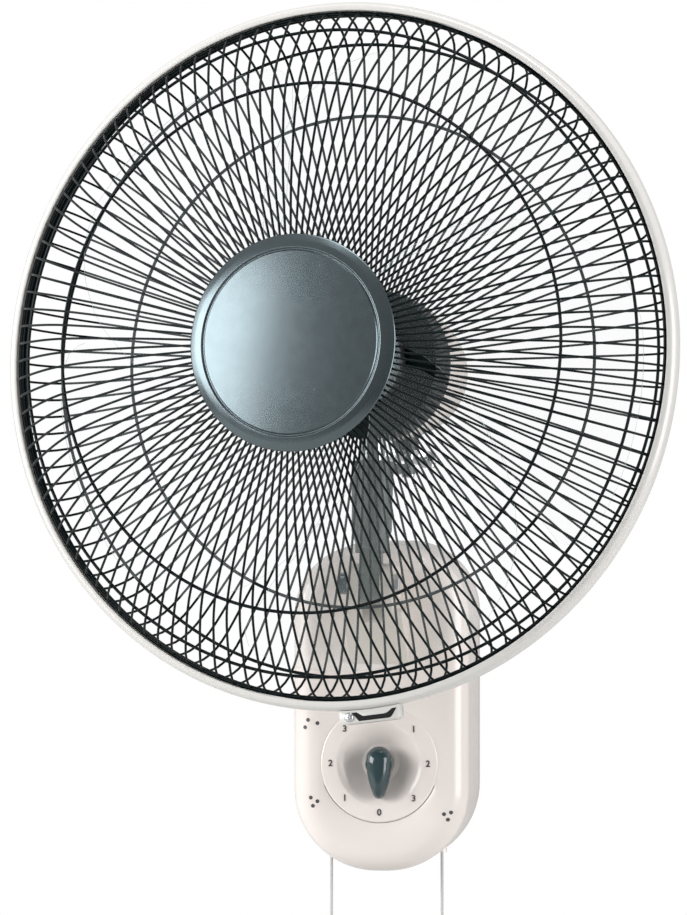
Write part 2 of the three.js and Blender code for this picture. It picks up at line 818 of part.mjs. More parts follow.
// Wire lines as [radius, forward of the pivot].
const frontWireLine = [
  [collarRadius + 2, guardDepth], [hoopRadius * 0.515, guardDepth - 7],
  [frontHoopInner, guardDepth - 25], [hoopRadius * 0.938, guardDepth - 59],
  [hoopRadius - 2.5, 11], [hoopRadius, 3],
].map(([radius, forward]) => [radius, forward + rimForward]);
const rearWireLine = [
  [rearCollarRadius - 2, -rearDepth], [rearHoopInner, 6.7 - rearDepth], [rearHoopOuter, 13.7 - rearDepth],
  [hoopRadius - 4, -17], [hoopRadius, -3],
].map(([radius, forward]) => [radius, forward + rimForward]);

// The wire's own corner points, evenly spaced along the smooth line.
function wirePoints(line) {
  const path = new THREE.CatmullRomCurve3(line.map(([r, f]) => new THREE.Vector3(r, -f, 0)));
  return path.getSpacedPoints(line.length - 1);
}

function wires(line) {
  const half = wireDiameter / 2;
  const section = new THREE.Shape();
  section.moveTo(-half, -half);
  section.lineTo(half, 0);
  section.lineTo(-half, half);
  section.closePath();
  const path = new THREE.CatmullRomCurve3(line.map(([r, f]) => new THREE.Vector3(r, -f, 0)));
  const wire = new THREE.ExtrudeGeometry(section, {
    steps: line.length - 1,
    extrudePath: path,
    bevelEnabled: false,
  });
  const solid = solidOf(wire);
  const made = [];
  for (let i = 0; i < guardWires; i += 1) {
    made.push(solid.rotate([0, (i * 360) / guardWires, 0]));
  }
  return made;
}

function hoop(radius, forward, width, depth, segments = guardWires) {
  const [inner, outer] = [radius - width / 2, radius + width / 2];
  const [low, high] = [forward - depth / 2, forward + depth / 2];
  return turned([[inner, low], [outer, low], [outer, high], [inner, high]], segments);
}

function frontGuard() {
  const [collarAt, rimAt] = [frontWireLine[0], frontWireLine.at(-1)];
  return union(
    ...wires(frontWireLine),
    hoop(collarRadius, collarAt[1], collarWidth, hoopSize),
    hoop(hoopRadius, rimAt[1], hoopSize, hoopSize),
  );
}

function rearGuard() {
  const [collarAt, rimAt] = [rearWireLine[0], rearWireLine.at(-1)];
  const collarInner = noseRadius + gap;
  const width = rearCollarRadius - collarInner;
  return union(
    ...wires(rearWireLine),
    hoop((rearCollarRadius + collarInner) / 2, collarAt[1], width, 2),
    hoop(hoopRadius, rimAt[1], hoopSize, hoopSize),
  );
}

// A hoop welded inside the wires, at a given radius on the wire line.
function innerHoop(line, radius, side) {
  const points = wirePoints(line);
  const next = points.findIndex((p) => p.x >= radius);
  const [a, b] = [points[next - 1], points[next]];
  const forward = -THREE.MathUtils.mapLinear(radius, a.x, b.x, a.y, b.y);
  const slope = Math.hypot(b.x - a.x, b.y - a.y) / Math.abs(b.x - a.x);
  const back = (wireDiameter / 2 + hoopWire / 2 + gap) * slope + hoopWire * 0.3;
  return hoop(radius, forward - side * back, hoopWire, hoopWire, hoopSegments);
}

function guardNut() {
  const low = motorFront + 2 + 3 * gap;
  const inner = noseRadius + gap;
  return turned([
    [inner, low], [nutRadius, low], [nutRadius - 2, low + nutThickness], [inner, low + nutThickness],
  ], 24);
}

function trimRing() {
  const inner = rimRadius - rimBand;
  const [low, high] = [rimForward - rimDepth / 2, rimForward + rimDepth / 2];
  const wallInside = rimRadius - rimWall;
  return turned([
    [inner, low], [rimRadius - 1.5, low], [rimRadius, low + 3], [rimRadius, high - 3],
    [rimRadius - 1.5, high], [inner, high], [inner, high - rimWall], [wallInside, high - rimWall],
    [wallInside, low + rimWall], [inner, low + rimWall],
  ], 48);
}

function frontCap() {
  const back = rimForward + guardDepth + wireDiameter / 2 + 2 * gap;
  const face = back + capThickness;
  const spigot = collarRadius - collarWidth / 2 - gap;
  const inside = spigot - 2;
  return turned([
    [0, face], [capFaceRadius - 1, face], [capFaceRadius, face - 0.8], [capFaceRadius + 1, face],
    [capRadius - 4, face - 1.5], [capRadius, face - 6], [capRadius, back], [spigot, back],
    [spigot, back - capSpigotDepth], [inside, back - capSpigotDepth], [inside, face - 3], [0, face - 3],
  ], 40);
}

const clipWidth = 40;
const clipHeight = 8;
const clipDepth = 11;
const clipTurn = 6; // degrees round the ring from its foot
const rimScrewRadius = 1.5;
const rimScrewAside = 13; // from the clip's middle
const clipMiddleZ = -rimRadius - gap - clipHeight / 2;

function rimClip() {
  const block = box(clipWidth, clipDepth, clipHeight, 0, -rimForward, clipMiddleZ);
  const hole = turned([[0, 0], [0, 99], [rimScrewRadius + gap, 99], [rimScrewRadius + gap, 0]], 12);
  return block.subtract(hole.translate([-rimScrewAside, 0, clipMiddleZ])).rotate([0, -clipTurn, 0]);
}

function rimScrew() {
  const face = rimForward + clipDepth / 2 + gap;
  const back = rimForward - clipDepth / 2;
  return turned([
    [0, back], [0, face + 1.5], [3, face + 1.5], [3, face], [rimScrewRadius, face],
    [rimScrewRadius, back],
  ], 12).translate([-rimScrewAside, 0, clipMiddleZ]).rotate([0, -clipTurn, 0]);
}

addPiece(headAxis, 'rear_guard', rearGuard(), wireBlack);
addPiece(headAxis, 'rear_guard_hoop_inner', innerHoop(rearWireLine, rearHoopInner, -1), wireBlack);
addPiece(headAxis, 'rear_guard_hoop_outer', innerHoop(rearWireLine, rearHoopOuter, -1), wireBlack);
addPiece(headAxis, 'guard_nut', guardNut(), blackPlastic);
addPiece(headAxis, 'trim_ring', trimRing(), offWhite);
addPiece(headAxis, 'front_guard', frontGuard(), wireBlack);
addPiece(headAxis, 'front_guard_hoop_inner', innerHoop(frontWireLine, frontHoopInner, 1), wireBlack);
addPiece(headAxis, 'front_guard_hoop_outer', innerHoop(frontWireLine, frontHoopOuter, 1), wireBlack);
addPiece(headAxis, 'front_cap', frontCap(), satinCap);
addPiece(headAxis, 'rim_clip', rimClip(), offWhite);
addPiece(headAxis, 'rim_screw', rimScrew(), steel);

// ---------------------------------------------------------------- rotor and blades
const hubFront = bladeMiddle + bladeHubDepth / 2;
const shaftEnd = hubFront + 4;

function rotorCore() {
  const inner = shaftRadius + gap;
  return turned([
    [inner, stackBack], [rotorRadius, stackBack], [rotorRadius, stackFront], [inner, stackFront],
  ], 28);
}

function motorShaft() {
  return turned([[0, wormEnd], [0, shaftEnd], [shaftRadius, shaftEnd], [shaftRadius, wormEnd]], 24);
}

const bladeTip = hoopRadius - bladeTipGap;

// A blade's outline seen from the front. Each point is its share of the way from the hub to the tip, and
// its angle in degrees.
const trailingEdge = [
  [-0.012, 66], [0.2275, 58], [0.467, 46.5], [0.653, 36.6], [0.8265, 26.5], [0.922, 18.5],
];
const leadingEdge = [[0.946, -40], [0.7065, -38], [0.467, -30], [0.2275, -12], [-0.012, 14]];
const bladeLength = bladeTip - bladeHubRadius;

function bladeOutline() {
  const at = ([share, angle]) => {
    const radius = bladeHubRadius + share * bladeLength;
    return new THREE.Vector2(radius * Math.cos(angle * degrees), radius * Math.sin(angle * degrees));
  };
  const outline = new THREE.Shape();
  outline.moveTo(...at(trailingEdge[0]).toArray());
  outline.splineThru(trailingEdge.slice(1).map(at));
  outline.quadraticCurveTo(...at([0.994, 14]).toArray(), ...at([1, 6]).toArray());
  outline.absarc(0, 0, bladeTip, 6 * degrees, -30 * degrees, true);
  outline.quadraticCurveTo(...at([0.994, -38]).toArray(), ...at(leadingEdge[0]).toArray());
  outline.splineThru(leadingEdge.slice(1).map(at));
  outline.closePath();
  return outline;
}

const bladeMidAngle = 13;
const bladeHalfAngle = 53;

// The blade is twisted: its trailing edge lies towards the room, its leading edge towards the motor.
function blade(turn) {
  const geometry = new THREE.ExtrudeGeometry(bladeOutline(), {
    depth: bladeThickness,
    bevelEnabled: false,
    curveSegments: 2,
  });
  const points = geometry.attributes.position;
  for (let i = 0; i < points.count; i += 1) {
    const angle = Math.atan2(points.getY(i), points.getX(i)) / degrees;
    const rise = (bladeRise * (angle - bladeMidAngle)) / bladeHalfAngle;
    points.setZ(i, points.getZ(i) - bladeThickness / 2 + bladeMiddle + rise);
  }
  geometry.rotateX(Math.PI / 2);
  return solidOf(geometry).rotate([0, turn, 0]);
}

function bladeSet() {
  const back = bladeMiddle - bladeHubDepth / 2;
  const bore = shaftRadius + gap;
  const hub = turned([
    [bore, back + 8], [bore + 4, back + 8], [bore + 4, hubFront - bladeHubWall],
    [bladeHubRadius - bladeHubWall, hubFront - bladeHubWall], [bladeHubRadius - bladeHubWall, back],
    [bladeHubRadius, back], [bladeHubRadius, hubFront - 4], [bladeHubRadius - 4, hubFront],
    [bore, hubFront],
  ], 30);
  const inside = bladeHubRadius - bladeHubWall;
  const core = turned([[0, 0], [0, 120], [inside, 120], [inside, 0]], 30);
  const blades = [];
  for (let i = 0; i < bladeCount; i += 1) blades.push(blade((i * 360) / bladeCount).subtract(core));
  return union(hub, ...blades);
}

function bladeSpinner() {
  const low = hubFront + gap;
  const hole = shaftRadius + gap;
  return turned([
    [0, low + spinnerLength], [spinnerRadius * 0.6, low + spinnerLength - 1.5],
    [spinnerRadius, low + 4], [spinnerRadius, low], [hole, low], [hole, shaftEnd + gap],
    [0, shaftEnd + gap],
  ], 24);
}

addPiece(headAxis, 'rotor_core', rotorCore(), steel);
addPiece(headAxis, 'motor_shaft', motorShaft(), steel);
addPiece(headAxis, 'blade_set', bladeSet(), clearBlade);
addPiece(headAxis, 'blade_spinner', bladeSpinner(), blackPlastic);

// ---------------------------------------------------------------- swing drive
// Crank angles from the line that points forward at the two ends of the swing, in the head's frame.
function postInHead(swing) {
  const angle = Math.atan2(linkPost[1], linkPost[0]) - swing * degrees;
  return new THREE.Vector2(linkPostRadius * Math.cos(angle), linkPostRadius * Math.sin(angle));
}
const crankCentre = new THREE.Vector2(0, crankBehind);
const restPost = postInHead(-restSwing);
const reach = crankCentre.distanceTo(postInHead(-swingHalf));
const nearReach = crankCentre.distanceTo(postInHead(swingHalf));
const linkLength = (reach + nearReach) / 2;

// Crank pin at rest: where the circle about the crank meets the circle about the link post.
function crankPinAtRest() {
  const line = restPost.clone().sub(crankCentre);
  const distance = line.length();
  const along = (crankRadius ** 2 - linkLength ** 2 + distance ** 2) / (2 * distance);
  const aside = Math.sqrt(crankRadius ** 2 - along ** 2);
  const unit = line.divideScalar(distance);
  const across = new THREE.Vector2(-unit.y, unit.x);
  return crankCentre.clone().addScaledVector(unit, along).addScaledVector(across, aside);
}
const crankPin = crankPinAtRest();

function crankDisc() {
  const disc = turnedUp([
    [0, crankDiscLow], [0, crankDiscTop], [crankDiscRadius, crankDiscTop],
    [crankDiscRadius, crankDiscLow],
  ]);
  const shaftTop = headAxisHeight - 15;
  const stub = turnedUp([
    [0, crankDiscTop - 1], [0, shaftTop], [crankShaftRadius, shaftTop],
    [crankShaftRadius, crankDiscTop - 1],
  ]);
  const pin = turnedUp([
    [0, linkBottom], [0, crankDiscLow + 1], [crankPinRadius, crankDiscLow + 1],
    [crankPinRadius, linkBottom],
  ], 16);
  const body = union(disc, stub).translate([crankCentre.x, crankCentre.y, 0]);
  return union(body, pin.translate([crankPin.x, crankPin.y, 0]));
}

function swingLink() {
  const span = restPost.clone().sub(crankPin);
  const length = span.length();
  const eye = turnedUp([
    [0, linkBottom], [0, linkTop], [linkWidth / 2, linkTop], [linkWidth / 2, linkBottom],
  ], 20);
  const bar = box(length, linkWidth - 3, linkThickness, length / 2, 0, (linkBottom + linkTop) / 2);
  const radius = crankPinRadius + gap;
  const hole = turnedUp([[0, linkBottom - 1], [0, 120], [radius, 120], [radius, linkBottom - 1]], 16);
  const link = union(bar, eye, eye.translate([length, 0, 0]))
    .subtract(hole)
    .subtract(hole.translate([length, 0, 0]));
  return link.rotate([0, 0, Math.atan2(span.y, span.x) / degrees]).translate([crankPin.x, crankPin.y, 0]);
}

addPiece(head, 'crank_disc', crankDisc(), steel);
addPiece(head, 'swing_link', swingLink(), steel);

export default fan;
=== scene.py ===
"""A wall mounted fan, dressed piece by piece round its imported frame. Metres, +Z up, -Y towards the room."""
import json
import math

import bmesh
import bpy
from mathutils import Matrix, Vector


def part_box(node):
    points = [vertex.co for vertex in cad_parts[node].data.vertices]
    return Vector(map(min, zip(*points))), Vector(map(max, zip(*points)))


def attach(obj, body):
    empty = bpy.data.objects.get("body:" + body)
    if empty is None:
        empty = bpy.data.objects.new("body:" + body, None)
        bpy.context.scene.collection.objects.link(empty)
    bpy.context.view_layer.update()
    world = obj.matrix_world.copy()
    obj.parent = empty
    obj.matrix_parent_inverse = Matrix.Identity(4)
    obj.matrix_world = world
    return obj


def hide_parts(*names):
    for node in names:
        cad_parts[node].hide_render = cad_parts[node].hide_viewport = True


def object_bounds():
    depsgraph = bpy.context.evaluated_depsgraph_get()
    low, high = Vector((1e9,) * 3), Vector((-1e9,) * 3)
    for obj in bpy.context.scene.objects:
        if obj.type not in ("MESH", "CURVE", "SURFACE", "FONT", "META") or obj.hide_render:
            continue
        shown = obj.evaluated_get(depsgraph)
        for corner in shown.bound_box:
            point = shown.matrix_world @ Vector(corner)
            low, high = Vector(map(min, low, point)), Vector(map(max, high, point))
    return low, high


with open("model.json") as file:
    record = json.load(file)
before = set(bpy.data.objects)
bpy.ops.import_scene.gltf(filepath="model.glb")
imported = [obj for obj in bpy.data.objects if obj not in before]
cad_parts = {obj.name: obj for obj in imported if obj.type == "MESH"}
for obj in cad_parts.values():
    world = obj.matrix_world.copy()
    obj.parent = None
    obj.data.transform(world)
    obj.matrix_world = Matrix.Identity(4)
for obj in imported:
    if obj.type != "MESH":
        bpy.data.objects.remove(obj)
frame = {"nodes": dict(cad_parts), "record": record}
cad_low, cad_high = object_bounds()
nodes = frame["nodes"]
joints = {joint["name"]: joint for joint in frame["record"]["behaviour"]["joints"]}

# ---------------------------------------------------------------- studio
# A pale round floor lies under the fan, and the sky is white and dims towards the floor. A broad soft panel
# on the left lights the cap's side, one on the right gives the housing a bright band, and one is above.
FLOOR_DROP = 0.06
FLOOR_RADIUS = 1.5
GLOSS_SPREAD = 0.2


def soft_panel(name, place, aim, width, height, power):
    """A broad even light at a place, turned to face its aim."""
    light = bpy.data.lights.new(name, "AREA")
    light.shape = "RECTANGLE"
    light.size = width
    light.size_y = height
    light.energy = power
    lamp = bpy.data.objects.new(name, light)
    lamp.location = place
    lamp.rotation_mode = "QUATERNION"
    lamp.rotation_quaternion = (Vector(aim) - Vector(place)).to_track_quat("-Z", "Y")
    bpy.context.collection.objects.link(lamp)


def white_sky(bright_side, most, least, seen):
    """The sky lights the fan most from its bright side, and is seen evenly white behind the fan."""
    world = bpy.data.worlds.new("white_sky")
    bpy.context.scene.world = world
    world.use_nodes = True
    tree = world.node_tree
    tree.nodes.clear()
    where = tree.nodes.new("ShaderNodeTexCoord")
    lean = tree.nodes.new("ShaderNodeVectorMath")
    lean.operation = "DOT_PRODUCT"
    lean.inputs[1].default_value = Vector(bright_side).normalized()
    spread = tree.nodes.new("ShaderNodeMapRange")
    for end, value in (("From Min", -1), ("From Max", 1), ("To Min", least), ("To Max", most)):
        spread.inputs[end].default_value = value
    path = tree.nodes.new("ShaderNodeLightPath")
    choose = tree.nodes.new("ShaderNodeMix")
    choose.inputs["B"].default_value = seen
    glow = tree.nodes.new("ShaderNodeBackground")
    glow.inputs["Color"].default_value = (1, 1, 1, 1)
    out = tree.nodes.new("ShaderNodeOutputWorld")
    tree.links.new(where.outputs["Generated"], lean.inputs[0])
    tree.links.new(lean.outputs["Value"], spread.inputs["Value"])
    tree.links.new(spread.outputs["Result"], choose.inputs["A"])
    tree.links.new(path.outputs["Is Camera Ray"], choose.inputs["Factor"])
    tree.links.new(choose.outputs["Result"], glow.inputs["Strength"])
    tree.links.new(glow.outputs[0], out.inputs[0])


def link_mesh(name, mesh_code, sharp=35.0):
    """Makes an object of mesh code: faces point out, and only edges past the sharp angle stay hard."""
    bmesh.ops.recalc_face_normals(mesh_code, faces=mesh_code.faces)
    for face in mesh_code.faces:
        face.smooth = True
    for edge in mesh_code.edges:
        edge.smooth = edge.calc_face_angle(0) < math.radians(sharp)
    mesh = bpy.data.meshes.new(name)
    mesh_code.to_mesh(mesh)
    mesh_code.free()
    made = bpy.data.objects.new(name, mesh)
    bpy.context.collection.objects.link(made)
    return made


def finish_of(
    name, shade, rough, spread=0.03, cloud=30.0, grain=900.0, depth=0.00001, metal=0.0, coat=0.0, shine=0.5,
):
    """One finish: the colour drifts a little, the gloss is uneven and the skin has a fine grain."""
    stuff = bpy.data.materials.new(name)
    stuff.use_nodes = True
    tree = stuff.node_tree
    shader = tree.nodes["Principled BSDF"]
    place = tree.nodes.new("ShaderNodeTexCoord")

    def noise_at(scale, detail):
        made = tree.nodes.new("ShaderNodeTexNoise")
        made.inputs["Scale"].default_value = scale
        made.inputs["Detail"].default_value = detail
        tree.links.new(place.outputs["Object"], made.inputs["Vector"])
        return made.outputs["Fac"]

    drift = tree.nodes.new("ShaderNodeMix")
    drift.data_type = "RGBA"
    drift.inputs["A"].default_value = (*[value * (1 - spread) for value in shade], 1)
    drift.inputs["B"].default_value = (*[min(1, value * (1 + spread)) for value in shade], 1)
    tree.links.new(noise_at(cloud, 4), drift.inputs["Factor"])
    tree.links.new(drift.outputs["Result"], shader.inputs["Base Color"])
    gloss = tree.nodes.new("ShaderNodeMapRange")
    gloss.inputs["To Min"].default_value = rough * (1 - GLOSS_SPREAD)
    gloss.inputs["To Max"].default_value = rough * (1 + GLOSS_SPREAD)
    tree.links.new(noise_at(cloud * 4, 3), gloss.inputs["Value"])
    tree.links.new(gloss.outputs["Result"], shader.inputs["Roughness"])
    skin = tree.nodes.new("ShaderNodeBump")
    skin.inputs["Distance"].default_value = depth
    tree.links.new(noise_at(grain, 2), skin.inputs["Height"])
    tree.links.new(skin.outputs["Normal"], shader.inputs["Normal"])
    shader.inputs["Metallic"].default_value = metal
    shader.inputs["Coat Weight"].default_value = coat
    shader.inputs["Specular IOR Level"].default_value = shine
    stuff.diffuse_color = (*shade, 1)
    return stuff


def pale_floor():
    disc = bmesh.new()
    bmesh.ops.create_circle(disc, cap_ends=True, segments=96, radius=FLOOR_RADIUS)
    floor = link_mesh("pale_floor", disc)
    floor.location.z = cad_low.z - FLOOR_DROP
    floor.data.materials.append(finish_of("pale_paint", (0.62, 0.62, 0.61), 0.6, cloud=3))


bpy.context.scene.view_settings.view_transform = "Standard"
pale_floor()
white_sky(bright_side=(-0.6, 0.3, 0.7), most=0.52, least=0.13, seen=1.0)
soft_panel("left_panel", (-2.77, -1.44, 0.73), aim=(-0.05, -0.2, 0.25), width=2.8, height=1.6, power=104)
soft_panel("right_panel", (2.55, -1.05, 0.2), aim=(0, -0.1, 0.0), width=1.6, height=2.0, power=57)
soft_panel("top_panel", (0.2, -0.6, 2.7), aim=(0, -0.15, 0.1), width=1.6, height=1.2, power=42)

# ---------------------------------------------------------------- camera
# The photograph was taken from far off, level with the fan's middle and a little to its right. The camera's
# direction, distance and lens come from the rim, cap, dial and housing as they lie in the photograph.
CAMERA_ROUND = math.radians(6.55)
CAMERA_RISE = math.radians(1.95)
CAMERA_FAR = 6.02
CAMERA_AIM = Vector((-0.0192, -0.1222, 0.1579))
CAMERA_LENS = 371
back = Vector((
    math.sin(CAMERA_ROUND) * math.cos(CAMERA_RISE),
    -math.cos(CAMERA_ROUND) * math.cos(CAMERA_RISE),
    math.sin(CAMERA_RISE),
))
camera = bpy.data.objects.new("camera", bpy.data.cameras.new("camera"))
camera.data.lens = CAMERA_LENS
camera.location = CAMERA_AIM + CAMERA_FAR * back
camera.rotation_mode = "QUATERNION"
camera.rotation_quaternion = (-back).to_track_quat("-Z", "Y")
bpy.context.collection.objects.link(camera)
bpy.context.scene.camera = camera

# ---------------------------------------------------------------- pull cords
# Two fine braided cords, one for the speed and one for the swing, hang from bushes in the housing's round
# bottom. Each ends in a small off-white bell of moulded plastic.
CORD_LENGTH = 0.12
CORD_WIDTH = 0.002
CORD_POINTS = 21
BRAID_BANDS = 350
BELL_RADIUS = 0.006
BELL_LENGTH = 0.017
BELL_EYE = 0.0018
ON_AXIS = 1e-6
UPRIGHT = Matrix.Rotation(math.radians(-90), 4, "X")


def softened(points, ease, closed=True, steps=4):
    """The same profile with its corners eased over a short length, as a mould or a tool leaves them."""
    made = []
    count = len(points)
    for i, point in enumerate(points):
        here = Vector(point)
        if (not closed and i in (0, count - 1)) or here.x < ON_AXIS:
            made.append(tuple(here))
            continue
        before = Vector(points[i - 1]) - here
        after = Vector(points[(i + 1) % count]) - here
        near = min(ease, before.length * 0.45, after.length * 0.45)
        start = here + before.normalized() * near
        end = here + after.normalized() * near
        for step in range(steps + 1):
            t = step / steps
            made.append(tuple(start * (1 - t) ** 2 + here * (2 * t * (1 - t)) + end * t ** 2))
    return made


def round_loop(radius_at, ahead, steps):
    """A loop about the -Y axis, whose radius may change with the turn."""
    turns = [2 * math.pi * i / steps for i in range(steps)]
    return [(radius_at(turn) * math.cos(turn), -ahead, radius_at(turn) * math.sin(turn)) for turn in turns]


def turned(name, profile, place=None, steps=96, closed=True, sharp=35.0):
    """A piece turned about its own -Y axis: the profile is (radius, forward) once round its section."""
    code = bmesh.new()
    rings = []
    for radius, ahead in profile:
        if radius < ON_AXIS:
            rings.append([code.verts.new((0, -ahead, 0))])
            continue
        loop = round_loop(lambda turn: radius, ahead, steps)
        rings.append([code.verts.new(point) for point in loop])
    pairs = list(zip(rings, rings[1:]))
    if closed:
        pairs.append((rings[-1], rings[0]))
    for low, high in pairs:
        for i in range(steps):
            j = (i + 1) % steps
            corners = [low[i % len(low)], low[j % len(low)], high[j % len(high)], high[i % len(high)]]
            corners = list(dict.fromkeys(corners))
            if len(corners) > 2:
                code.faces.new(corners)
    code.transform(place or Matrix.Identity(4))
    return link_mesh(name, code, sharp)


def settle(piece, body, slot, *replaced, stuff=None):
    """Gives a piece its material and the body it moves with, and hides the nodes it stands for; slot is not
    used.
    """
    if stuff is not None:
        piece.data.materials.append(stuff)
    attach(piece, body)
    if replaced:
        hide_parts(*replaced)
    return piece


def braided_cotton():
    """Grey-white cotton, with the slanting ridges of a fine braid."""
    stuff = finish_of("braided_cotton", (0.56, 0.56, 0.56), 0.75, spread=0.12, cloud=600, depth=0.0001)
    tree = stuff.node_tree
    braid = tree.nodes.new("ShaderNodeTexWave")
    braid.bands_direction = "DIAGONAL"
    braid.inputs["Scale"].default_value = BRAID_BANDS
    braid.inputs["Distortion"].default_value = 1.5
    place = tree.nodes.new("ShaderNodeTexCoord")
    tree.links.new(place.outputs["Object"], braid.inputs["Vector"])
    skin = next(node for node in tree.nodes if node.type == "BUMP")
    tree.links.new(braid.outputs["Fac"], skin.inputs["Height"])
    return stuff


def hanging_cord(name, top, stuff):
    """The cord's line, straight down from the mouth of its bush."""
    curve = bpy.data.curves.new(name, "CURVE")
    curve.dimensions = "3D"
    curve.bevel_depth = CORD_WIDTH / 2
    curve.bevel_resolution = 3
    curve.use_fill_caps = True
    line = curve.splines.new("POLY")
    line.points.add(CORD_POINTS - 1)
    for i, point in enumerate(line.points):
        point.co = (top.x, top.y, top.z - CORD_LENGTH * i / (CORD_POINTS - 1), 1)
    cord = bpy.data.objects.new(name, curve)
    bpy.context.collection.objects.link(cord)
    curve.materials.append(stuff)
    return cord


def pull_bell(name, top, stuff):
    """A bell that is narrow at the cord's eye and widens to its rim; profile heights are below the eye."""
    profile = [
        (0, 0), (BELL_EYE, 0), (BELL_EYE + 0.0004, -0.0012), (BELL_RADIUS * 0.5, -0.003),
        (BELL_RADIUS * 0.78, -0.0072), (BELL_RADIUS * 0.9, -BELL_LENGTH * 0.65),
        (BELL_RADIUS, 0.0015 - BELL_LENGTH),
        (BELL_RADIUS - 0.0008, -BELL_LENGTH), (BELL_RADIUS * 0.5, -BELL_LENGTH), (0, -BELL_LENGTH),
    ]
    place = Matrix.Translation(top) @ UPRIGHT
    return turned(name, softened(profile, 0.0012, closed=False), place, steps=48, closed=False)


cotton = braided_cotton()
off_white = finish_of("off_white_gloss", (0.80, 0.735, 0.70), 0.24, spread=0.015, coat=0.25)
for purpose in ("speed", "swing"):
    low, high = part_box(f"{purpose}_pull_cord")
    mouth = Vector(((low.x + high.x) / 2, (low.y + high.y) / 2, high.z))
    cord = hanging_cord(f"{purpose}_cord", mouth, cotton)
    settle(cord, f"{purpose}_pull", "cord", f"{purpose}_pull_cord")
    bell_top = Vector((mouth.x, mouth.y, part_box(f"{purpose}_pull_bell")[1].z))
    bell = pull_bell(f"{purpose}_bell", bell_top, off_white)
    settle(bell, f"{purpose}_pull", "housing", f"{purpose}_pull_bell")

# ---------------------------------------------------------------- wall plate and back cover
# The wall plate is plated steel, with two holes for the wall's screws. The back cover is a shallow tray of the
# same off-white plastic as the housing. Two plated screws go through it into the housing's posts.
HOUSING_HALF = 0.0565
HOUSING_LOW = -0.110
HOUSING_HIGH = 0.100
FOOT_RADIUS = 0.053
CROWN_RADIUS = 0.045
HOUSING_WALL = 0.0025
CORNER_STEPS = 20
COVER_BACK = -0.0023
COVER_FRONT = -0.0163
COVER_EASE = 0.0012
MERGE_WITHIN = 1e-6
FLAT_WITHIN = math.radians(0.5)


def housing_outline(inset):
    """The housing's outline in x and z, inset evenly: a wide round foot and a round crown."""
    foot = FOOT_RADIUS - inset
    crown = CROWN_RADIUS - inset
    half = HOUSING_HALF - inset
    low = HOUSING_LOW + inset
    high = HOUSING_HIGH - inset
    corners = [
        (half - foot, low + foot, foot, -90), (half - crown, high - crown, crown, 0),
        (crown - half, high - crown, crown, 90), (foot - half, low + foot, foot, 180),
    ]
    points = []
    for x, z, radius, start in corners:
        for step in range(CORNER_STEPS + 1):
            turn = math.radians(start + 90 * step / CORNER_STEPS)
            points.append((x + radius * math.cos(turn), z + radius * math.sin(turn)))
    return points


def join_loops(code, loops, closed=False):
    """Joins loops of equal count into one skin; open ends are capped unless the skin closes on itself."""
    rings = [[code.verts.new(point) for point in loop] for loop in loops]
    count = len(rings[0])
    pairs = list(zip(rings, rings[1:]))
    if closed:
        pairs.append((rings[-1], rings[0]))
    for low, high in pairs:
        for i in range(count):
            j = (i + 1) % count
            code.faces.new((low[i], low[j], high[j], high[i]))
    if not closed:
        code.faces.new(rings[0])
        code.faces.new(rings[-1])


def lofted(name, loops, closed=False, place=None, sharp=35.0):
    """A piece that is one skin over a row of loops."""
    code = bmesh.new()
    join_loops(code, loops, closed)
    code.transform(place or Matrix.Identity(4))
    return link_mesh(name, code, sharp)


def outline_loop(inset, y):
    return [(x, y, z) for x, z in housing_outline(inset)]


def back_cover():
    """A tray: its back is capped outside and inside, and its rim faces the front housing."""
    return lofted("back_cover", [
        outline_loop(COVER_EASE, COVER_BACK), outline_loop(COVER_EASE * 0.3, COVER_BACK - COVER_EASE * 0.3),
        outline_loop(0, COVER_BACK - COVER_EASE), outline_loop(0, COVER_FRONT),
        outline_loop(HOUSING_WALL, COVER_FRONT), outline_loop(HOUSING_WALL, COVER_BACK - HOUSING_WALL),
    ])


def dress(stuff, *names):
    """Carried-over nodes keep their shape and take a finish."""
    for name in names:
        nodes[name].data.materials.clear()
        nodes[name].data.materials.append(stuff)


def eased_piece(node, name, ease, body, slot, stuff, steps=3, turn=32.0):
    """Stands for a node: its own solid with the hard edges rounded over, as on a moulded piece."""
    code = bmesh.new()
    code.from_mesh(nodes[node].data)
    bmesh.ops.remove_doubles(code, verts=code.verts, dist=MERGE_WITHIN)
    bmesh.ops.dissolve_limit(
        code, angle_limit=FLAT_WITHIN, verts=code.verts, edges=code.edges, use_dissolve_boundaries=False,
    )
    hard = [edge for edge in code.edges if edge.calc_face_angle(0) > math.radians(turn)]
    bmesh.ops.bevel(
        code, geom=hard, offset=ease, offset_type="OFFSET", segments=steps, profile=0.5,
        affect="EDGES", clamp_overlap=True,
    )
    eased = link_mesh(name, code)
    eased.modifiers.new("flat_faces_stay_flat", "WEIGHTED_NORMAL").keep_sharp = True
    settle(eased, body, slot, node, stuff=stuff)


plated_steel = finish_of("plated_steel", (0.60, 0.61, 0.62), 0.3, metal=1.0, cloud=80, depth=0.00003)
eased_piece("wall_plate", "pressed_wall_plate", 0.0004, "base", "steel", plated_steel)
settle(back_cover(), "base", "housing", "base_back_cover", stuff=off_white)
dress(plated_steel, "base_screw_left", "base_screw_right")

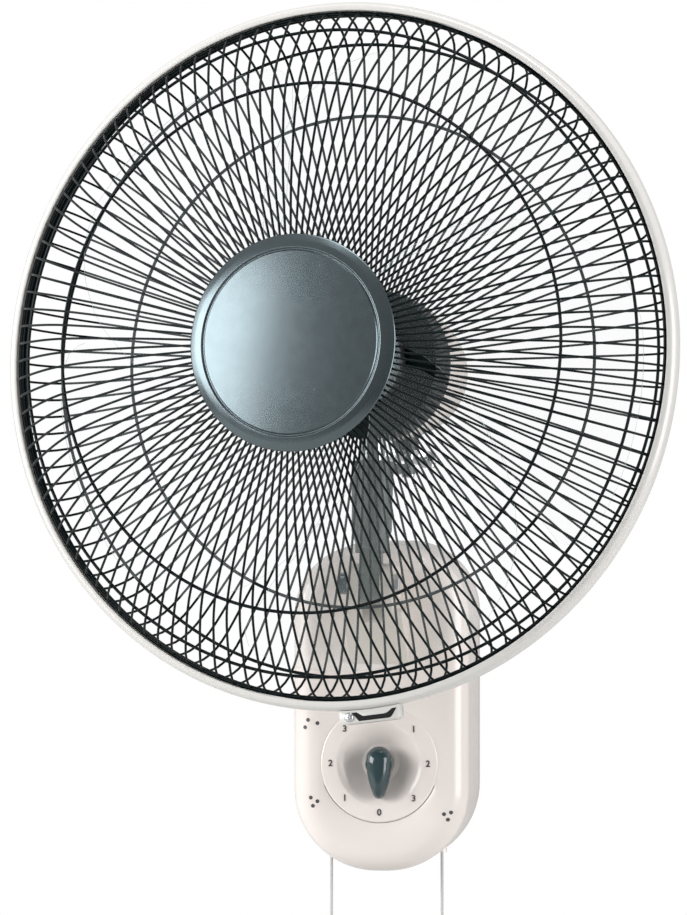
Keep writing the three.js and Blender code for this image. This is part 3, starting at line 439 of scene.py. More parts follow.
# ---------------------------------------------------------------- front housing
# The housing is one glossy off-white moulding: a flat face with broad round shoulders and a wide round foot.
# A round hole takes the dial. Small groups of three dots are printed beside the dial.
HOUSING_FRONT = -0.088
SHOULDER = 0.015
SHOULDER_STEPS = 14
SHELL_BACK = -0.0166
DIAL_PLACE = Vector((0, 0, -0.040))
DIAL_RADIUS = 0.038
DIAL_HOLE = 0.0383
HOLE_EASE = 0.0006
DOT_RADIUS = 0.0013
DOT_THICK = 0.0003
DOTS = [
    (-0.0444, -0.0622), (-0.0400, -0.0645), (-0.0430, -0.0675),
    (0.0418, -0.0722), (0.0462, -0.0712), (0.0442, -0.0758),
    (-0.0462, -0.0122), (-0.0400, -0.0142), (-0.0482, -0.0170),
]


def dial_loop(radius, y, outline):
    """A circle about the dial's centre with one point towards each point of an outline."""
    points = []
    for x, z in outline:
        turn = math.atan2(z - DIAL_PLACE.z, x)
        points.append((radius * math.cos(turn), y, DIAL_PLACE.z + radius * math.sin(turn)))
    return points


def shoulder_loops(radius, wall):
    """From the side of the housing round its shoulder to the flat face, for the outside or the inside."""
    loops = []
    for step in range(SHOULDER_STEPS + 1):
        turn = math.radians(90 * step / SHOULDER_STEPS)
        inset = wall + radius * (1 - math.cos(turn))
        y = HOUSING_FRONT + wall + radius * (1 - math.sin(turn))
        loops.append(outline_loop(inset, y))
    return loops


def front_housing():
    """From the rear edge over the outside to the dial's hole, and back along the inside of the wall."""
    flat = housing_outline(SHOULDER)
    inside_face = HOUSING_FRONT + HOUSING_WALL
    loops = [outline_loop(0, SHELL_BACK)]
    loops += shoulder_loops(SHOULDER, 0)
    loops += [
        dial_loop(DIAL_HOLE + HOLE_EASE, HOUSING_FRONT, flat),
        dial_loop(DIAL_HOLE, HOUSING_FRONT + HOLE_EASE, flat),
        dial_loop(DIAL_HOLE, inside_face, flat),
    ]
    loops += reversed(shoulder_loops(SHOULDER - HOUSING_WALL, HOUSING_WALL))
    loops.append(outline_loop(HOUSING_WALL, SHELL_BACK))
    return lofted("front_housing", loops, closed=True, sharp=50)


def face_at(x, z):
    """Where the housing's outer skin lies over a point of its lower half: it falls away at the shoulder."""
    beside = max(0.0, abs(x) - (HOUSING_HALF - FOOT_RADIUS))
    below = max(0.0, HOUSING_LOW + FOOT_RADIUS - z)
    inset = FOOT_RADIUS - math.hypot(beside, below)
    lean = max(0.0, 1 - inset / SHOULDER)
    return HOUSING_FRONT + SHOULDER * (1 - math.sqrt(max(0, 1 - lean * lean)))


def printed_dots():
    """Each dot is a thin disc, pressed to the housing's face and shoulder."""
    code = bmesh.new()
    for x, z in DOTS:
        place = Matrix.Translation((x, 0, z)) @ Matrix.Rotation(math.radians(90), 4, "X")
        bmesh.ops.create_cone(
            code, cap_ends=True, segments=24, radius1=DOT_RADIUS, radius2=DOT_RADIUS * 0.9,
            depth=DOT_THICK, matrix=place,
        )
    for vertex in code.verts:
        vertex.co.y += face_at(vertex.co.x, vertex.co.z) - DOT_THICK * 0.3
    return link_mesh("printed_dots", code)


printed_ink = finish_of("printed_ink", (0.055, 0.055, 0.06), 0.45, spread=0.1, cloud=400)
settle(front_housing(), "base", "housing", "base_front_shell", stuff=off_white)
settle(printed_dots(), "base", "black_plastic", stuff=printed_ink)

# ---------------------------------------------------------------- dial
# The dial is a dished plate that is pressed into the housing from inside. It falls to a flat floor under the
# knob. Plain speed numbers are printed on its rim: 0 at the foot, then 1, 2 and 3 clockwise, and so again.
DIAL_FACE = 0.0885
DIAL_BACK = 0.0852
DISH_FLOOR = 0.079
NUMBER_RADIUS = 0.0315
NUMBER_HEIGHT = 0.0058
INK_PROUD = 0.00022
NUMBERS = [("0", 0), ("1", -45), ("2", -90), ("3", -135), ("3", 45), ("2", 90), ("1", 135)]
NUMBER_BOLD = 0.00012
DISH_OUTER = 0.0275
DISH_INNER = 0.012
DISH_ROUND = 0.3
DISH_STEPS = 20
DIAL_BORE = 0.0045
DIAL_SHEET = 0.002
DIAL_FLANGE = 0.041


def dial_skin(radius):
    """How far forward the dial's face lies at a radius: it falls from the rim to the dish's floor."""
    way = min(1.0, max(0.0, (DISH_OUTER - radius) / (DISH_OUTER - DISH_INNER)))
    fall = DISH_ROUND * way * way * (3 - 2 * way) + (1 - DISH_ROUND) * way
    return DIAL_FACE - (DIAL_FACE - DISH_FLOOR) * fall


def dished_dial():
    """The face with its dish, the bore for the switch's shaft, and a flange behind the housing."""
    dish = []
    for step in range(DISH_STEPS + 1):
        radius = DISH_OUTER + (DISH_INNER - DISH_OUTER) * step / DISH_STEPS
        dish.append((radius, dial_skin(radius)))
    profile = [
        (DIAL_RADIUS, DIAL_BACK), (DIAL_RADIUS, DIAL_FACE - 0.0008), (0.0372, DIAL_FACE), *dish,
        (DIAL_BORE, DISH_FLOOR), (DIAL_BORE, DISH_FLOOR - DIAL_SHEET), (0.018, DISH_FLOOR - DIAL_SHEET),
        (0.0205, DIAL_FACE - 0.0085), (0.032, DIAL_FACE - 0.004), (0.033, DIAL_BACK - DIAL_SHEET),
        (DIAL_FLANGE, DIAL_BACK - DIAL_SHEET), (DIAL_FLANGE, DIAL_BACK),
    ]
    place = Matrix.Translation(DIAL_PLACE)
    return turned("dished_dial", softened(profile, 0.0007), place, steps=128)


def speed_numbers():
    """Each number is set upright on the dial and pressed to its dished face."""
    code = bmesh.new()
    for text, away in NUMBERS:
        curve = bpy.data.curves.new(f"number_{text}", "FONT")
        curve.body = text
        curve.size = NUMBER_HEIGHT
        curve.align_x = "CENTER"
        curve.align_y = "CENTER"
        curve.offset = NUMBER_BOLD
        curve.extrude = INK_PROUD
        shape = bpy.data.objects.new(f"number_{text}", curve)
        bpy.context.collection.objects.link(shape)
        seen = bpy.context.evaluated_depsgraph_get()
        mesh = bpy.data.meshes.new_from_object(shape.evaluated_get(seen))
        turn = math.radians(away - 90)
        for vertex in mesh.vertices:
            x = vertex.co.x + NUMBER_RADIUS * math.cos(turn)
            rise = vertex.co.y + NUMBER_RADIUS * math.sin(turn)
            forward = dial_skin(math.hypot(x, rise)) + vertex.co.z + INK_PROUD / 2
            vertex.co = (x, -forward, DIAL_PLACE.z + rise)
        code.from_mesh(mesh)
        bpy.data.objects.remove(shape)
    return link_mesh("speed_numbers", code)


settle(dished_dial(), "base", "housing", "dial_plate", stuff=off_white)
settle(speed_numbers(), "base", "black_plastic", stuff=printed_ink)

# ---------------------------------------------------------------- speed knob
# The knob is a glossy dark blue-green moulding in the shape of a drop, with a soft ridge to its point. It is
# pushed on the switch's shaft, and its point shows the speed.
KNOB_HEAD = 0.0083
KNOB_TIP = 0.0040
KNOB_HEAD_UP = 0.003
KNOB_TIP_DOWN = 0.0186
KNOB_BELLY = 0.0011
KNOB_UNDER = 0.0859
KNOB_RISE = 0.013
KNOB_SIDE = 0.004
KNOB_STEPS = 14
KNOB_LAST_TURN = 88
HEAD_STEPS = 40
TIP_STEPS = 16


def drop_outline():
    """A round head and a smaller round tip, joined by gently bellied sides, as points round in x and z."""
    lean = math.asin((KNOB_HEAD - KNOB_TIP) / (KNOB_HEAD_UP + KNOB_TIP_DOWN))
    points = []
    for step in range(HEAD_STEPS + 1):
        turn = -lean + (math.pi + 2 * lean) * step / HEAD_STEPS
        points.append((KNOB_HEAD * math.cos(turn), KNOB_HEAD_UP + KNOB_HEAD * math.sin(turn)))
    tip = []
    for step in range(TIP_STEPS + 1):
        turn = math.pi + lean + (math.pi - 2 * lean) * step / TIP_STEPS
        tip.append((KNOB_TIP * math.cos(turn), -KNOB_TIP_DOWN + KNOB_TIP * math.sin(turn)))
    left_side = bellied(points[-1], tip[0], KNOB_BELLY)
    right_side = bellied(tip[-1], points[0], KNOB_BELLY)
    return [*points, *left_side, *tip, *right_side]


def bellied(start, end, swell, steps=8):
    """Points of a shallow arch between two corners, which swells to the outside."""
    start, end = Vector(start), Vector(end)
    run = end - start
    out = Vector((run.y, -run.x)).normalized()
    points = []
    for step in range(1, steps):
        t = step / steps
        points.append(tuple(start + run * t + out * (swell * 4 * t * (1 - t))))
    return points


def drop_knob():
    """Loops climb the side of the drop, round over its edge and narrow to a ridge along its middle."""
    outline = drop_outline()
    ridge_middle = -0.004
    loops = [[(x * 0.97, -KNOB_UNDER, z * 0.985) for x, z in outline]]
    for step in range(KNOB_STEPS + 1):
        turn = math.radians(KNOB_LAST_TURN * step / KNOB_STEPS)
        width = math.cos(turn) ** 0.75
        length = 0.65 * width + 0.35 * (1 - 0.10 * step / KNOB_STEPS)
        rise = KNOB_SIDE + (KNOB_RISE - KNOB_SIDE) * math.sin(turn) ** 1.15
        loops.append([
            (x * width, -KNOB_UNDER - rise, ridge_middle + (z - ridge_middle) * length) for x, z in outline
        ])
    return lofted("drop_knob", loops, place=Matrix.Translation(DIAL_PLACE), sharp=60)


def knob_boss():
    """The round socket under the knob, which takes the switch's shaft."""
    profile = [(0.0033, 0.0793), (0.0033, 0.092), (0.0086, 0.092), (0.009, 0.0798), (0.0085, 0.0793)]
    return turned("knob_boss", softened(profile, 0.0005), Matrix.Translation(DIAL_PLACE), steps=64)


blue_green = finish_of("blue_green_gloss", (0.021, 0.046, 0.053), 0.16, spread=0.12, cloud=140, coat=0.4)
settle(drop_knob(), "dial_knob", "knob", "speed_knob", stuff=blue_green)
settle(knob_boss(), "dial_knob", "knob", stuff=blue_green)

# ---------------------------------------------------------------- switches and terminals
# Inside the housing: a rotary switch behind the dial, two pull switches, a terminal block and the motor's
# capacitor. They are stock parts in black and cream plastic, and a plated nut clamps the rotary switch.
black_plastic = finish_of("black_plastic", (0.02, 0.02, 0.022), 0.42, spread=0.15, grain=1400, depth=0.00003)
cream_plastic = finish_of("cream_plastic", (0.66, 0.61, 0.52), 0.4)
dress(black_plastic, "rotary_switch", "speed_pull_switch", "swing_pull_switch", "capacitor")
dress(plated_steel, "switch_nut", "switch_shaft")
dress(cream_plastic, "terminal_block")
dress(off_white, "speed_cord_bush", "swing_cord_bush")
dress(cotton, "speed_pull_slider", "swing_pull_slider")

# ---------------------------------------------------------------- arm and tilt joint
# The arm is a cream moulding that reaches forward from the housing and ends in a fork. A plated bolt with a
# round dark hand nut goes through the fork and the neck's tongue, and lets the head tilt.
cream_gloss = finish_of("cream_gloss", (0.66, 0.61, 0.55), 0.3, spread=0.02, coat=0.15)
eased_piece("neck_socket", "forked_arm", 0.0022, "base", "housing", cream_gloss, steps=4)
eased_piece("tilt_bolt", "hex_tilt_bolt", 0.0004, "base", "steel", plated_steel)
eased_piece("tilt_nut", "hand_nut", 0.0007, "base", "knob", blue_green)

# ---------------------------------------------------------------- neck
# The neck is a moulding: a flat tongue in the fork, a round column and a side lug for the swing link's post.
# Its dark grey-green is painted shade, the look of the cream neck in the shadow under the head. The head turns
# on a plated pin in the column's top.
# Painted shade: the neck's colour is its look in the shadow under the head.
neck_painted_shade = finish_of(
    "neck_painted_shade_green", (0.112, 0.135, 0.118), 0.42, spread=0.06, grain=1100, depth=0.00003,
)
eased_piece("neck_post", "neck_column", 0.0007, "neck", "neck_plastic", neck_painted_shade, turn=24)
dress(plated_steel, "swing_pivot_pin", "link_post", "crank_disc", "swing_link")

# ---------------------------------------------------------------- motor housing
# Two moulded shells meet round the motor: a dark front shell with a short nose for the guard's nut, and a
# tapering off-white rear shell. The front shell's near-black is partly painted shade: its dark plastic is
# darkened further by the shade it lies in behind the cap and blades.
spin = joints["blade_spin"]
BLADES_AHEAD = 0.055
ahead = Vector(spin["axis"]).normalized()
head_up = Vector(joints["head_swing"]["axis"]).normalized()
head_side = (-ahead).cross(head_up)
head_middle = Vector(spin["pos_m"]) - BLADES_AHEAD * ahead
HEAD = Matrix.Translation(head_middle) @ Matrix((head_side, -ahead, head_up)).transposed().to_4x4()
MOTOR_RADIUS = 0.048
MOTOR_WALL = 0.002
MOTOR_SPLIT = -0.012
MOTOR_FRONT = 0.014
MOTOR_EDGE = 0.005
MOTOR_GROOVE = 0.035
NOSE_RADIUS = 0.017
NOSE_FRONT = 0.024
NOSE_BORE = 0.010
MOTOR_BACK = -0.092
MOTOR_TAPER = [(0.045, -0.040), (0.040, -0.066), (0.033, -0.084), (0.022, MOTOR_BACK)]


def motor_front_shell():
    """A cup with an eased front edge, a fine ring groove in its face and the nose for the guard's nut."""
    inner = MOTOR_RADIUS - MOTOR_WALL
    inner_face = MOTOR_FRONT - MOTOR_WALL
    groove_floor = MOTOR_FRONT - 0.0007
    profile = [
        (MOTOR_RADIUS, MOTOR_SPLIT), (MOTOR_RADIUS, MOTOR_FRONT - MOTOR_EDGE),
        (MOTOR_RADIUS - MOTOR_EDGE, MOTOR_FRONT), (MOTOR_GROOVE + 0.001, MOTOR_FRONT),
        (MOTOR_GROOVE + 0.0005, groove_floor), (MOTOR_GROOVE - 0.0005, groove_floor),
        (MOTOR_GROOVE - 0.001, MOTOR_FRONT), (NOSE_RADIUS, MOTOR_FRONT), (NOSE_RADIUS, NOSE_FRONT),
        (NOSE_BORE, NOSE_FRONT), (NOSE_BORE, inner_face), (inner - 0.003, inner_face),
        (inner, inner_face - 0.003), (inner, MOTOR_SPLIT),
    ]
    return turned("motor_front_shell", softened(profile, 0.0012), HEAD, steps=128)


def motor_rear_shell():
    """A tapering cup with an even wall, closed behind."""
    outside = [(MOTOR_RADIUS, MOTOR_SPLIT - 0.0003), *MOTOR_TAPER]
    inside = [(radius - MOTOR_WALL, ahead_by) for radius, ahead_by in outside[:-1]]
    inner_back = MOTOR_BACK + MOTOR_WALL
    last_radius = MOTOR_TAPER[-1][0] - MOTOR_WALL
    profile = [*outside, (0, MOTOR_BACK), (0, inner_back), (last_radius, inner_back), *reversed(inside)]
    return turned("motor_rear_shell", softened(profile, 0.006, steps=6), HEAD, steps=128)


# Partly painted shade: the dark plastic is made as dark as it looks in the shade behind the cap.
dark_motor_and_shade = finish_of("dark_motor_plastic_and_shade", (0.014, 0.017, 0.023), 0.42, spread=0.1, grain=700)
settle(motor_front_shell(), "head", "motor_plastic", "motor_front_cover", stuff=dark_motor_and_shade)
settle(motor_rear_shell(), "head", "housing", "motor_rear_cover", stuff=off_white)

# ---------------------------------------------------------------- motor
# Inside the shells: a laminated core with copper windings in a steel frame, a rotor on a plated shaft in two
# bronze bushes, and a closed gearbox behind, which turns the crank that swings the head.
copper_wire = finish_of("enamelled_copper", (0.45, 0.15, 0.06), 0.35, metal=0.9, cloud=500, depth=0.0001)
bronze = finish_of("sintered_bronze", (0.45, 0.30, 0.12), 0.45, metal=1.0, cloud=300)
dress(plated_steel, "motor_frame", "rear_bracket", "stator_core", "rotor_core", "motor_shaft")
dress(copper_wire, "stator_winding_front", "stator_winding_rear")
dress(bronze, "front_bearing", "rear_bearing")
dress(black_plastic, "gearbox")

# ---------------------------------------------------------------- rear guard
# The rear guard is a shallow basket of drawn steel wires, welded to a pressed centre plate, two hoops and a
# rim hoop, and coated near-black. A ribbed plastic nut clamps its centre plate to the motor's nose.
GUARD_WIRES = 120
WIRE_RADIUS = 0.0008
WIRE_STEPS = 26
WIRE_SIDES = 6
HOOP_RADIUS = 0.00105
HOOP_SIDES = 12
HOOP_STEPS = 240
RIM_AHEAD = 0.060
RIM_HOOP = 0.2175
RIM_HOOP_OFF = 0.003
RIM_HOOP_THICK = 0.0015
REAR_WIRE_LINE = [(0.044, -0.0447), (0.157, -0.038), (0.202, -0.031), (0.2135, -0.017), (0.2175, -0.003)]
REAR_HOOPS = {"inner": 0.157, "outer": 0.202}
REAR_COLLAR = 0.048
REAR_PLATE_BACK = RIM_AHEAD - 0.0457
PLATE_THICK = 0.002
PLATE_BEAD = 0.0031
NOSE_GAP = 0.0003
NUT_RIBS = 20
NUT_STEPS = 160
RIB_DEEP = 0.0009
LINE_PIECES = 40


def smooth_line(points, steps):
    """Evenly spaced places on one smooth line through a few points."""
    line = [Vector(point) for point in points]
    line = [2 * line[0] - line[1], *line, 2 * line[-1] - line[-2]]
    fine = []
    for a, b, c, d in zip(line, line[1:], line[2:], line[3:]):
        knots = [0.0]
        for start, end in ((a, b), (b, c), (c, d)):
            knots.append(knots[-1] + (end - start).length ** 0.5)
        for i in range(LINE_PIECES):
            t = knots[1] + (knots[2] - knots[1]) * i / LINE_PIECES

            def between(p, q, low, high):
                return p + (q - p) * ((t - knots[low]) / (knots[high] - knots[low]))

            ab, bc, cd = between(a, b, 0, 1), between(b, c, 1, 2), between(c, d, 2, 3)
            fine.append(between(between(ab, bc, 0, 2), between(bc, cd, 1, 3), 1, 2))
    fine.append(line[-2])
    along = [0.0]
    for start, end in zip(fine, fine[1:]):
        along.append(along[-1] + (end - start).length)
    made = []
    place = 0
    for step in range(steps + 1):
        want = along[-1] * step / steps
        while place < len(along) - 2 and along[place + 1] < want:
            place += 1
        share = (want - along[place]) / (along[place + 1] - along[place])
        made.append(fine[place].lerp(fine[place + 1], min(1.0, share)))
    return made


def add_wire(code, line, turn, radius):
    """One round wire in the plane through the fan's axis at a turn about it; line is (radius, ahead)."""
    loops = []
    spun = Matrix.Rotation(turn, 3, "Y")
    for i, here in enumerate(line):
        run = (line[min(i + 1, len(line) - 1)] - line[max(i - 1, 0)]).normalized()
        normal = Vector((-run.y, run.x))
        loop = []
        for k in range(WIRE_SIDES):
            angle = 2 * math.pi * k / WIRE_SIDES
            side = here + normal * (radius * math.cos(angle))
            loop.append(spun @ Vector((side.x, -side.y, radius * math.sin(angle))))
        loops.append(loop)
    join_loops(code, loops)


def wire_basket(name, line):
    """All of a guard's wires, evenly round the fan; line gives places forward of the rim."""
    code = bmesh.new()
    smooth = smooth_line([(radius, forward + RIM_AHEAD) for radius, forward in line], WIRE_STEPS)
    for i in range(GUARD_WIRES):
        add_wire(code, smooth, 2 * math.pi * i / GUARD_WIRES, WIRE_RADIUS)
    code.transform(HEAD)
    return link_mesh(name, code, sharp=80)


def wire_hoop(name, radius, forward, thick):
    """A round hoop of wire, welded to the radial wires."""
    section = []
    for step in range(HOOP_SIDES):
        turn = 2 * math.pi * step / HOOP_SIDES
        section.append((radius + thick * math.cos(turn), RIM_AHEAD + forward + thick * math.sin(turn)))
    return turned(name, section, HEAD, steps=HOOP_STEPS, sharp=80)


def line_at(line, radius):
    """How far forward of the rim a wire lies at a radius."""
    return min(smooth_line(line, 200), key=lambda place: abs(place.x - radius)).y


def guard_hoops(side, line, radii, ahead_by):
    """A guard's inner and outer hoop, each a little ahead of the wires or behind them where it crosses."""
    for place, radius in radii.items():
        hoop = wire_hoop(f"{side}_hoop_{place}", radius, line_at(line, radius) + ahead_by, HOOP_RADIUS)
        settle(hoop, "head", "wire", f"{side}_guard_hoop_{place}", stuff=black_wire)


def rear_centre_plate():
    """A flat pressed ring about the motor's nose, with a raised bead round it."""
    bore = NOSE_RADIUS + NOSE_GAP
    face = REAR_PLATE_BACK + PLATE_THICK
    bead = REAR_PLATE_BACK + PLATE_BEAD
    profile = [
        (bore, REAR_PLATE_BACK), (REAR_COLLAR, REAR_PLATE_BACK), (REAR_COLLAR, face), (0.042, face),
        (0.040, bead), (0.031, bead), (0.029, face), (bore, face),
    ]
    return turned("rear_centre_plate", softened(profile, 0.0006), HEAD)


def ribbed_nut():
    """The clamping nut's skirt has finger ribs, made as waves on its outer loops: share says how deep."""
    bore = NOSE_RADIUS + NOSE_GAP
    sections = [
        (bore, 0.0169, 0), (0.0272, 0.0169, 0.4), (0.028, 0.0175, 1), (0.0275, 0.0236, 1),
        (0.0262, 0.0247, 0.4), (0.0225, 0.0249, 0), (0.0215, 0.0242, 0), (bore, 0.0242, 0),
    ]
    loops = []
    for radius, forward, share in sections:

        def ribbed(turn):
            return radius - RIB_DEEP * share * (0.5 - 0.5 * math.cos(NUT_RIBS * turn)) ** 3

        loops.append(round_loop(ribbed, forward, NUT_STEPS))
    return lofted("ribbed_nut", loops, closed=True, place=HEAD, sharp=50)


black_wire = finish_of(
    "coated_black_wire", (0.003, 0.007, 0.008), 0.3, spread=0.2, cloud=200, depth=0.00002, shine=0.13,
)
settle(wire_basket("rear_wires", REAR_WIRE_LINE), "head", "wire", "rear_guard", stuff=black_wire)
settle(rear_centre_plate(), "head", "wire", stuff=black_wire)
settle(wire_hoop("rear_rim_hoop", RIM_HOOP, -RIM_HOOP_OFF, RIM_HOOP_THICK), "head", "wire", stuff=black_wire)
guard_hoops("rear", REAR_WIRE_LINE, REAR_HOOPS, 0.0016)
settle(ribbed_nut(), "head", "black_plastic", "guard_nut", stuff=black_plastic)

# ---------------------------------------------------------------- blades
# Five broad blades and their hub are one moulding of clear plastic, faintly blue-green where it is seen edge
# on. A black spinner closes over the shaft's end, just ahead of the hub.
BLADE_COUNT = 5
BLADE_ROOT = 0.030
BLADE_TIP = 0.199
BLADE_RISE = 0.015
BLADE_MIDDLE_TURN = 13
BLADE_HALF_TURN = 53
BLADE_THICK = 0.0018
THIN_EDGE = 0.55
THIN_TIP = 0.6
EDGE_TAPER = 6
TIP_TAPER = 0.01
BLADE_RADII = 30
BLADE_ACROSS = 22
TRAILING_EDGE = [(30, 66), (70, 58), (110, 46.5), (141, 36.6), (170, 26.5), (186, 18.5), (195, 12), (199, 5)]
LEADING_EDGE = [(30, 14), (70, -12), (110, -30), (150, -38), (185, -40.5), (195, -38), (199, -31)]
HUB_RADIUS = 0.032
HUB_WALL = 0.003
HUB_BORE = 0.0043
HUB_BOSS = 0.0083
HUB_BACK = 0.038
HUB_FRONT = 0.072


def edge_turn(edge, radius):
    """The angle of a blade's edge in degrees at a radius in millimetres, straight from point to point."""
    for (inner, first), (outer, last) in zip(edge, edge[1:]):
        if radius <= outer:
            share = (radius - inner) / (outer - inner)
            return first + (last - first) * share
    return edge[-1][1]


def blade_point(radius, share, side):
    """A point of a blade's skin: share runs from the leading edge to the trailing edge."""
    lead = edge_turn(LEADING_EDGE, radius * 1000)
    trail = edge_turn(TRAILING_EDGE, radius * 1000)
    turn = lead + (trail - lead) * share
    rise = BLADE_RISE * (turn - BLADE_MIDDLE_TURN) / BLADE_HALF_TURN
    from_edge = min(1.0, min(share, 1 - share) * (trail - lead) / EDGE_TAPER)
    from_tip = min(1.0, (BLADE_TIP - radius) / TIP_TAPER)
    thick = BLADE_THICK * (THIN_EDGE + (1 - THIN_EDGE) * from_edge) * (THIN_TIP + (1 - THIN_TIP) * from_tip)
    angle = math.radians(turn)
    forward = BLADES_AHEAD + rise + side * thick / 2
    return Vector((radius * math.cos(angle), -forward, radius * math.sin(angle)))


def clear_blades():
    """Each blade is a front and a back skin over the same plan, closed all round by its thin edge."""
    code = bmesh.new()
    for number in range(BLADE_COUNT):
        spun = Matrix.Rotation(-2 * math.pi * number / BLADE_COUNT, 3, "Y")
        borders = []
        for side in (1, -1):
            rows = []
            for i in range(BLADE_RADII + 1):
                way = i / BLADE_RADII
                radius = BLADE_ROOT + (BLADE_TIP - BLADE_ROOT) * (1 - (1 - way) ** 1.5)
                rows.append([
                    code.verts.new(spun @ blade_point(radius, j / BLADE_ACROSS, side))
                    for j in range(BLADE_ACROSS + 1)
                ])
            for low, high in zip(rows, rows[1:]):
                for j in range(BLADE_ACROSS):
                    code.faces.new((low[j], low[j + 1], high[j + 1], high[j]))
            lead = [row[0] for row in rows]
            trail = [row[-1] for row in reversed(rows)]
            borders.append([*lead, *rows[-1][1:-1], *trail, *reversed(rows[0][1:-1])])
        front, rear = borders
        for i in range(len(front)):
            j = (i + 1) % len(front)
            face = code.faces.new((front[i], front[j], rear[j], rear[i]))
            face.material_index = 1
    code.transform(HEAD)
    return link_mesh("clear_blades", code, sharp=50)


def clear_hub():
    """A cup that is open behind, with a boss inside it for the shaft."""
    inner, inner_face, boss_back = HUB_RADIUS - HUB_WALL, HUB_FRONT - HUB_WALL, HUB_BACK + 0.008
    profile = [
        (HUB_BORE, boss_back), (HUB_BOSS, boss_back), (HUB_BOSS, inner_face), (inner, inner_face),
        (inner, HUB_BACK), (HUB_RADIUS, HUB_BACK), (HUB_RADIUS, HUB_FRONT - 0.004),
        (HUB_RADIUS - 0.004, HUB_FRONT), (HUB_BORE, HUB_FRONT),
    ]
    return turned("clear_hub", softened(profile, 0.001), HEAD)


def dark_spinner():
    """A domed cap with a blind hole, just ahead of the hub."""
    profile = [
        (0, 0.0863), (0.007, 0.0861), (0.0125, 0.0838), (0.016, 0.0790), (0.017, 0.0745), (0.017, 0.0723),
        (HUB_BORE, 0.0723), (HUB_BORE, 0.0763), (0, 0.0763),
    ]
    return turned("dark_spinner", softened(profile, 0.001, closed=False), HEAD, closed=False)


def clear_plastic(name, shade, least, most, rough):
    """Clear plastic: nearly unseen face on, and clearer to see where it is edge on or lit."""
    stuff = finish_of(name, shade, rough, spread=0.02, cloud=20, depth=0.000004, grain=60)
    tree = stuff.node_tree
    shader = tree.nodes["Principled BSDF"]
    facing = tree.nodes.new("ShaderNodeLayerWeight")
    facing.inputs["Blend"].default_value = 0.35
    cover = tree.nodes.new("ShaderNodeMapRange")
    cover.inputs["To Min"].default_value = least
    cover.inputs["To Max"].default_value = most
    tree.links.new(facing.outputs["Facing"], cover.inputs["Value"])
    tree.links.new(cover.outputs["Result"], shader.inputs["Alpha"])
    return stuff


clear_face = clear_plastic("clear_blade_plastic", (0.80, 0.90, 0.90), 0.03, 0.18, 0.25)
clear_edge = clear_plastic("clear_blade_edge", (0.60, 0.74, 0.76), 0.5, 0.85, 0.15)
clear_boss = clear_plastic("clear_hub_plastic", (0.55, 0.66, 0.67), 0.06, 0.4, 0.2)
blades = clear_blades()
blades.data.materials.append(clear_face)
blades.data.materials.append(clear_edge)
settle(blades, "rotor", "blades", "blade_set")
settle(clear_hub(), "rotor", "blades", stuff=clear_boss)
settle(dark_spinner(), "rotor", "black_plastic", "blade_spinner", stuff=black_plastic)

# ---------------------------------------------------------------- trim ring and clip
# The trim ring is a cream-white band of plastic in a channel section, which snaps over both guards' rim
# hoops. A small clip and one screw hold it shut at the foot. A black boat-shaped band on the clip's front is
# a painted shadow of the gap beneath the clip.
RIM_RADIUS = 0.225
RIM_BAND = 0.0057
RIM_HALF = 0.007
RIM_WALL = 0.0016
CLIP_WIDTH = 0.040
CLIP_HEIGHT = 0.008
CLIP_REAR = RIM_AHEAD - 0.0055
CLIP_FRONT = RIM_AHEAD + 0.0055
CLIP_TOP = RIM_RADIUS + 0.0003
CLIP_EASE = 0.0008
CLIP_CORNER = 0.0038
CLIP_STEPS = 12
CORNER_POINTS = 8
CLIP_PLACE = HEAD @ Matrix.Rotation(math.radians(-6), 4, "Y")
SCREW_ASIDE = 0.013
SCREW_STEPS = 64
SCREW_CROWN = 0.0015
# Painted shadow: a black boat-shaped band on the clip's front stands for the shade in the gap beneath it.
SHADOW_WIDTH = 0.030
SHADOW_MIDDLE = 0.0040
SHADOW_THICK = 0.0030
SHADOW_SLANT = 0.0042
SHADOW_PROUD = 0.0002
SHADOW_DEEP = 0.002


def trim_ring():
    """A channel that is open to the inside, with broad bevels on its outer edges."""
    inner = RIM_RADIUS - RIM_BAND
    low, high = RIM_AHEAD - RIM_HALF, RIM_AHEAD + RIM_HALF
    wall = RIM_RADIUS - RIM_WALL
    profile = [
        (inner, low), (RIM_RADIUS - 0.0022, low), (RIM_RADIUS, low + 0.0035), (RIM_RADIUS, high - 0.0035),
        (RIM_RADIUS - 0.0022, high), (inner, high), (inner, high - RIM_WALL), (wall, high - RIM_WALL),
        (wall, low + RIM_WALL), (inner, low + RIM_WALL),
    ]
    return turned("cream_trim_ring", softened(profile, 0.0012), HEAD, steps=256)


def clip_outline(shrink):
    """The clip's outline from the front: it follows the ring above and is round at its lower corners."""
    half = CLIP_WIDTH / 2 - shrink
    foot = -CLIP_TOP - CLIP_HEIGHT + shrink
    points = []
    for step in range(CLIP_STEPS + 1):
        x = half - 2 * half * step / CLIP_STEPS
        points.append((x, -math.sqrt((CLIP_TOP + shrink) ** 2 - x * x)))
    for centre, start in ((-half + CLIP_CORNER, 180), (half - CLIP_CORNER, 270)):
        for step in range(CORNER_POINTS + 1):
            turn = math.radians(start + 90 * step / CORNER_POINTS)
            points.append((centre + CLIP_CORNER * math.cos(turn), foot + CLIP_CORNER * (1 + math.sin(turn))))
    return points


def rim_clip():
    """The clip's body, with its front and rear edges eased."""
    rear, front = CLIP_REAR + CLIP_EASE, CLIP_FRONT - CLIP_EASE
    loops = []
    for shrink, forward in ((CLIP_EASE, CLIP_REAR), (0, rear), (0, front), (CLIP_EASE, CLIP_FRONT)):
        loops.append([(x, -forward, z) for x, z in clip_outline(shrink)])
    return lofted("cream_rim_clip", loops, place=CLIP_PLACE, sharp=60)


